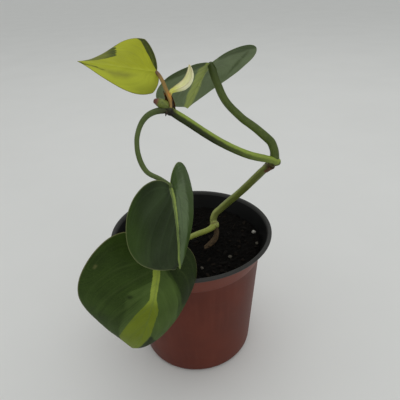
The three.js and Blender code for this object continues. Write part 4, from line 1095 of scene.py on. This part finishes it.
# ------------------------------------------------------------------ bud and root point
n = Nodes("bud_skin")
pos = n.position()
al = n.attr("along")
fibre = n.noise(n.scaled(n.attr("stalkuv", "Vector"), (14.0, 1.5, 1.0)), 1.0, 3, 0.6)
color = n.mix(n.step(fibre, 0.3, 0.7), srgb(84, 96, 34), srgb(116, 128, 52))
color = n.mix(n.step(al, 0.68, 0.84), color, n.mix(fibre, srgb(104, 70, 38), srgb(140, 104, 58)))
color = n.mix(n.step(al, 0.82, 0.95), color, n.mix(fibre, srgb(80, 34, 26), srgb(116, 66, 58)))
bud_mat = n.finish(color, 0.45, n.bump(fibre, 0.4, 0.0001), Specular_IOR_Level=0.42)


def bud_shape(t, ang, centre):
    scale_edge = 0.13 * smooth(np.sin(ang + 5 * t), 0.55, 0.75)
    return scale_edge * math.sin(math.pi * min(1, t * 1.1)) + 0.04 * np.sin(3 * ang)


v, f, t, a = tube(BUD, through([1.85, 2.0, 1.9, 1.6, 1.1]), 36, 0.16, shape=bud_shape)
ob = build("side_bud", v, f, bud_mat, {"along": t, "stalkuv": np.stack([a / (2 * np.pi), t * 2, t * 0], -1)})
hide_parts("axillary_bud")
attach(ob, "root")

n = Nodes("root_skin")
pos = n.position()
grain = n.noise(pos, 1300.0, 4)
root_mat = n.finish(n.mix(n.step(grain, 0.35, 0.65), srgb(22, 20, 12), srgb(54, 44, 28)), 0.8,
                    n.bump(grain, 0.6, 0.00015), Specular_IOR_Level=0.3)
v, f, t, a = tube(AERIAL, through([0.85, 0.7, 0.5, 0.3, 0.14]), 22, 0.12,
                  shape=lambda t, ang, c: 0.08 * fbm(np.stack([np.cos(ang) * 2 + c[0], np.sin(ang) * 2 + c[1], ang * 0 + c[2] * 2], -1), 2, 8))
v = v + np.array([0, 0, 0.35])
ob = build("root_point", v, f, root_mat, {"along": t})
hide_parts("aerial_root")
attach(ob, "root")


# ------------------------------------------------------------------ pot
def pot():
    prof = [(0, 0.0), (8, 0.0), (14.7, 0.0), (26.6, 0.0), (29.6, 0.0), (30.5, 0.08), (31.4, 0.36), (32.1, 0.85), (32.65, 1.5),
            (33.0, 2.3), (33.2, 3.3)]
    for k in range(1, 15):
        prof.append((33.2 + (38.28 - 33.2) * k / 14, 3.3 + (66.3 - 3.3) * k / 14))
    prof += [(38.36, 66.7), (38.58, 67.05), (38.82, 67.35), (38.98, 67.7)]
    for k in range(1, 7):
        prof.append((38.98 + (43.2 - 38.98) * k / 6, 67.7 + (78.2 - 67.7) * k / 6))
    prof += [(43.5, 78.42), (44.0, 78.46), (44.5, 78.5), (44.82, 78.66), (44.98, 78.95), (45.0, 79.25), (44.94, 79.6),
             (44.75, 79.85), (44.4, 79.97), (43.95, 80.0), (43.5, 79.95), (43.1, 79.8), (42.82, 79.5), (42.6, 79.0)]
    inner_start = len(prof) - 12
    for k in range(1, 7):
        prof.append((42.35 + (38.0 - 42.35) * k / 6, 78.4 + (67.9 - 78.4) * k / 6))
    prof += [(37.85, 67.55), (37.6, 67.2), (37.4, 66.8), (37.33, 66.3)]
    for k in range(1, 13):
        prof.append((37.33 + (32.25 - 37.33) * k / 12, 66.3 + (3.5 - 66.3) * k / 12))
    prof += [(32.05, 2.7), (31.6, 2.0), (30.9, 1.45), (29.9, 1.15), (29.1, 1.1), (26.6, 1.1), (14.7, 1.1), (8, 1.1), (0, 1.1)]
    prof = np.array(prof)
    around = 192
    ang = np.linspace(0, 2 * np.pi, around, endpoint=False)
    verts, rows, kinds = [], [], []
    for i, (r, z) in enumerate(prof):
        if r < 1e-6:
            rows.append([len(verts)])
            verts.append((0, 0, z))
            continue
        # a hand-thin moulded wall is never perfectly round
        oval = 0.10 * math.sin(2.1) * np.sin(2 * ang + 0.6) * smooth(z, 5, 75) + 0.05 * np.sin(3 * ang + 1.9) * smooth(z, 5, 75)
        if r > 44.2:
            oval = np.minimum(oval, 0.0)
        rows.append(list(range(len(verts), len(verts) + around)))
        verts += [((r + o) * math.cos(x), (r + o) * math.sin(x), z) for x, o in zip(ang, oval)]
    faces, fm = [], []
    for i in range(len(rows) - 1):
        a, b = rows[i], rows[i + 1]
        inside = i >= inner_start
        for j in range(around):
            k = (j + 1) % around
            if len(a) == 1:
                faces.append((a[0], b[k], b[j]))
            elif len(b) == 1:
                faces.append((a[j], a[k], b[0]))
            else:
                faces.append((a[j], a[k], b[k], b[j]))
            fm.append(1 if inside else 0)

    n = Nodes("pot_outside")
    pos = n.position()
    orange = n.noise(pos, 2600.0, 2)
    cloud = n.noise(pos, 42.0, 3)
    drawn = n.noise(n.scaled(pos, (320.0, 320.0, 22.0)), 1.0, 3)
    color = n.mix(n.step(cloud, 0.3, 0.7), srgb(86, 34, 20), srgb(98, 42, 27))
    color = n.mix(n.math("MULTIPLY", n.step(drawn, 0.48, 0.72), 0.16), color, srgb(114, 58, 42))
    dust = n.step(n.noise(n.scaled(pos, (60.0, 60.0, 120.0)), 1.0, 4, 0.7), 0.55, 0.75)
    color = n.mix(n.math("MULTIPLY", dust, 0.07), color, srgb(130, 94, 78))
    color = n.mix(n.step(n.separate_z(pos), 0.0655, 0.0685), color, n.mix(cloud, srgb(103, 47, 33), srgb(115, 57, 42)))
    brown = n.finish(color, n.math("ADD", 0.40, n.math("MULTIPLY", cloud, 0.18)),
                     n.bump(n.math("ADD", n.math("MULTIPLY", orange, 0.5), drawn), 0.16, 0.0001), Specular_IOR_Level=0.22)
    n = Nodes("pot_inside")
    pos = n.position()
    orange = n.noise(pos, 2200.0, 2)
    cloud = n.noise(pos, 90.0, 4)
    # the black plastic, darkened further as painted shade inside the pot
    color = n.mix(n.step(cloud, 0.35, 0.7), srgb(4, 4, 4), srgb(10, 10, 10))
    color = n.mix(n.math("MULTIPLY", n.step(n.noise(pos, 360.0, 4, 0.7), 0.58, 0.78), 0.16), color, srgb(38, 36, 34))
    # painted highlight: the top of the rolled rim is a lighter grey
    color = n.mix(n.step(n.separate_z(pos), 0.0781, 0.0788), color, n.mix(cloud, srgb(44, 44, 43), srgb(60, 60, 58)))
    black = n.finish(color, n.math("ADD", 0.34, n.math("MULTIPLY", cloud, 0.25)), n.bump(orange, 0.15, 0.00008),
                     Specular_IOR_Level=0.18)
    ob = build("nursery_pot", verts, faces, [brown, black], face_material=fm)
    tools = []
    for i in range(6):
        a = (i + 0.5) * 2 * math.pi / 6
        bm = bmesh.new()
        bmesh.ops.create_cone(bm, cap_ends=True, segments=48, radius1=3.0 * MM, radius2=3.0 * MM, depth=6 * MM)
        me = bpy.data.meshes.new("drill")
        bm.to_mesh(me)
        bm.free()
        tool = bpy.data.objects.new(f"drill_{i}", me)
        tool.location = (21 * math.cos(a) * MM, 21 * math.sin(a) * MM, 0.5 * MM)
        tool.rotation_euler = (0.0, 0.0, 0.043)
        scene.collection.objects.link(tool)
        tools.append(tool)
        m = ob.modifiers.new("hole", "BOOLEAN")
        m.operation, m.solver, m.object = "DIFFERENCE", "EXACT", tool
    bpy.context.view_layer.update()
    apply_modifiers(ob)
    for tool in tools:
        bpy.data.objects.remove(tool)
    me = ob.data
    bm = bmesh.new()
    bm.from_mesh(me)
    bmesh.ops.remove_doubles(bm, verts=bm.verts, dist=0.002 * MM)
    bmesh.ops.dissolve_degenerate(bm, edges=bm.edges, dist=0.001 * MM)
    bm.to_mesh(me)
    bm.free()
    me.polygons.foreach_set("use_smooth", [True] * len(me.polygons))
    me.set_sharp_from_angle(angle=math.radians(40))
    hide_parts("pot")
    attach(ob, "root")


pot()


# ------------------------------------------------------------------ soil
def base_soil(x, y):
    return (71 + 0.32 * np.sin(0.31 * x + 1.1) * np.cos(0.27 * y - 0.4) + 0.22 * np.sin(0.73 * x - 0.5 * y + 0.8))


rng = np.random.default_rng(20)


def soil_top(x, y, grains):
    """Height of the loose surface: rounded grains of many sizes lying in fine peat."""
    gx, gy, gr, gs = grains
    z = base_soil(x, y) - 0.35 + 0.35 * fbm(np.stack([x * 0.35, y * 0.35, x * 0], -1), 3, 60) \
        + 0.22 * fbm(np.stack([x * 1.6, y * 1.6, x * 0], -1), 3, 61)
    best = np.full(len(x), -9.0)
    for k in range(0, len(x), 1500):
        d2 = (x[k:k + 1500, None] - gx) ** 2 + (y[k:k + 1500, None] - gy) ** 2
        h = np.where(d2 < gr ** 2, np.sqrt(np.maximum(gr ** 2 - d2, 0)) - gs * gr, -9.0)
        best[k:k + 1500] = h.max(1)
    rough = 0.16 * fbm(np.stack([x * 3.1, y * 3.1, x * 0], -1), 2, 62)
    return np.maximum(z, base_soil(x, y) - 0.25 + best + rough)


def soil():
    count = 2600
    rr = 38.3 * np.sqrt(rng.random(count))
    aa = rng.random(count) * 2 * np.pi
    size = 0.35 + 1.05 * rng.random(count) ** 2.6
    grains = (rr * np.cos(aa), rr * np.sin(aa), size, 0.35 + 0.45 * rng.random(count))
    around, rings = 340, 96
    ang = np.linspace(0, 2 * np.pi, around, endpoint=False)
    rad = np.linspace(0, 1, rings + 1)[1:] * 39.15
    x = np.r_[0, (rad[:, None] * np.cos(ang)).ravel()]
    y = np.r_[0, (rad[:, None] * np.sin(ang)).ravel()]
    z = soil_top(x, y, grains)
    edge = smooth(np.hypot(x, y), 37.6, 39.0)
    z = z * (1 - edge) + (70.2 + 0.3 * np.sin(7 * np.arctan2(y, x)) + 0.25 * np.sin(17 * np.arctan2(y, x))) * edge
    top = np.stack([x, y, z], -1)
    side = []
    wall = [(38.1, 69.2), (37.5, 67.8), (37.0, 66.2), (35.8, 51.0), (34.5, 36.0), (33.2, 20.0), (31.85, 3.6), (31.4, 2.5),
            (30.5, 1.75), (29.3, 1.45),
            (22, 1.45), (14, 1.45), (6, 1.45)]
    for r, zz in wall:
        side.append(np.stack([r * np.cos(ang), r * np.sin(ang), np.full(around, zz)], -1))
    verts = np.vstack([top] + side + [[(0, 0, 1.45)]])
    faces = [(0, 1 + j, 1 + (j + 1) % around) for j in range(around)]
    rows = rings + len(wall)
    for i in range(rows - 1):
        a, b = 1 + i * around, 1 + (i + 1) * around
        for j in range(around):
            k = (j + 1) % around
            faces.append((a + j, b + j, b + k, a + k))
    last = 1 + (rows - 1) * around
    end = len(verts) - 1
    for j in range(around):
        faces.append((end, last + (j + 1) % around, last + j))
    n = Nodes("peat_soil")
    pos = n.position()
    lump = n.noise(pos, 420.0, 4, 0.7)
    fine = n.noise(pos, 2200.0, 4, 0.7)
    # the peat's own dark brown, darkened further as painted shade inside the pot
    color = n.mix(n.step(lump, 0.35, 0.68), srgb(4, 3, 2), srgb(13, 11, 9))
    color = n.mix(n.math("MULTIPLY", n.step(fine, 0.55, 0.75), 0.3), color, srgb(18, 15, 12))
    color = n.mix(n.step(n.voronoi(pos, 420.0, out=0), 0.10, 0.04), color, srgb(48, 42, 34))
    normal = n.bump(n.math("ADD", lump, n.math("MULTIPLY", fine, 0.6)), 0.9, 0.0004)
    ob = build("peat_soil", verts, faces, n.finish(color, n.math("ADD", 0.82, n.math("MULTIPLY", lump, 0.15)), normal,
                                                   Specular_IOR_Level=0.08))
    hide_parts("potting_soil")
    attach(ob, "root")
    return grains


grains = soil()


def lump(radius, seed, detail=3, squash=(1, 0.85, 0.75), rough=0.28, freq=1.1):
    bm = bmesh.new()
    bmesh.ops.create_icosphere(bm, subdivisions=detail, radius=1.0)
    v = np.array([x.co for x in bm.verts])
    f = [tuple(x.index for x in face.verts) for face in bm.faces]
    bm.free()
    d = 1 + rough * fbm(v * freq + seed * 3.7, 3, seed) + rough * 0.35 * fbm(v * freq * 4 + seed, 2, seed + 5)
    return v * d[:, None] * np.array(squash) * radius, f


# crumbs, bark chips and fibres lying loose on the surface
def litter():
    parts, tone = [], []
    gx, gy, gr, gs = grains
    plant = np.array([(14.0, 2.4), (12.5, -2.0), (9.5, -4.5), (36.5, 5.9), (36.6, -5.3), (5.1, -24.6), (20.5, -16.4)])
    for k in range(230):
        r = 37.4 * math.sqrt(rng.random())
        a = rng.random() * 2 * math.pi
        x, y = r * math.cos(a), r * math.sin(a)
        if np.hypot(plant[:, 0] - x, plant[:, 1] - y).min() < 2.8:
            continue
        kind = rng.random()
        if kind < 0.62:
            size = 0.45 + 0.9 * rng.random() ** 2
            v, f = lump(size, int(rng.integers(1, 900)), 2, (1, 0.8 + 0.2 * rng.random(), 0.7))
        elif kind < 0.86:
            size = 0.8 + 1.3 * rng.random()
            v, f = lump(size, int(rng.integers(1, 900)), 2, (1.3, 0.55, 0.28), 0.22)
        else:
            size = 0.35
            v, f = lump(1.0, int(rng.integers(1, 900)), 2, (2.6 + 1.6 * rng.random(), 0.16, 0.16), 0.25)
        yaw, tilt = rng.random() * 2 * math.pi, (rng.random() - 0.5) * 0.5
        rot = np.array(Matrix.Rotation(yaw, 3, "Z") @ Matrix.Rotation(tilt, 3, "Y"))
        v = v @ rot.T
        z = soil_top(np.array([x]), np.array([y]), grains)[0]
        v = v + np.array([x, y, z - v[:, 2].min() * 0.45])
        reach = np.hypot(v[:, 0], v[:, 1]).max()
        if reach > 38.6:
            continue
        shade = rng.random() if kind >= 0.62 else rng.random() * 0.45
        parts.append((v, f, np.full(len(v), shade)))
    v, f, tone = merge(parts)
    n = Nodes("soil_crumbs_skin")
    pos = n.position()
    fine = n.noise(pos, 1500.0, 4, 0.7)
    # crumb colours darkened further as painted shade inside the pot
    color = n.mix(n.attr("tone"), n.mix(fine, srgb(6, 5, 4), srgb(18, 15, 12)), n.mix(fine, srgb(20, 16, 12), srgb(46, 37, 28)))
    ob = build("soil_crumbs", v, f, n.finish(color, 0.85, n.bump(fine, 0.8, 0.0003), Specular_IOR_Level=0.1), {"tone": tone})
    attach(ob, "root")


litter()

def perlite_material(name, dark, light, stain):
    n = Nodes(name)
    pos = n.position()
    pores = n.voronoi(pos, 2300.0)
    cloud = n.noise(pos, 900.0, 3)
    color = n.mix(n.step(cloud, 0.35, 0.7), dark, light)
    color = n.mix(n.math("MULTIPLY", n.step(pores, 0.30, 0.1), 0.5), color, stain)
    return n.finish(color, 0.9, n.bump(n.math("ADD", pores, cloud), 0.8, 0.0002), Specular_IOR_Level=0.25)


perlite_clean = perlite_material("perlite_skin", srgb(150, 148, 140), srgb(192, 190, 182), srgb(98, 92, 82))
# the other three grains get darker colours than the first
perlite_dim = perlite_material("perlite_dim_skin", srgb(74, 70, 62), srgb(112, 107, 97), srgb(48, 42, 34))
for i, ((x, y), r, turn) in enumerate(PERLITE):
    v, f = lump(r, 70 + i, 4, (1, 0.85, 0.75), 0.30, 1.3)
    v = v @ np.array(Matrix.Rotation(turn, 3, "Z")).T
    v = v + np.array([x, y, base_soil(x, y) + 0.25 * r])
    ob = build(f"perlite_grain_{i + 1}", v, f, perlite_clean if i == 0 else perlite_dim)
    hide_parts(f"perlite_{i + 1}")
    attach(ob, "root")
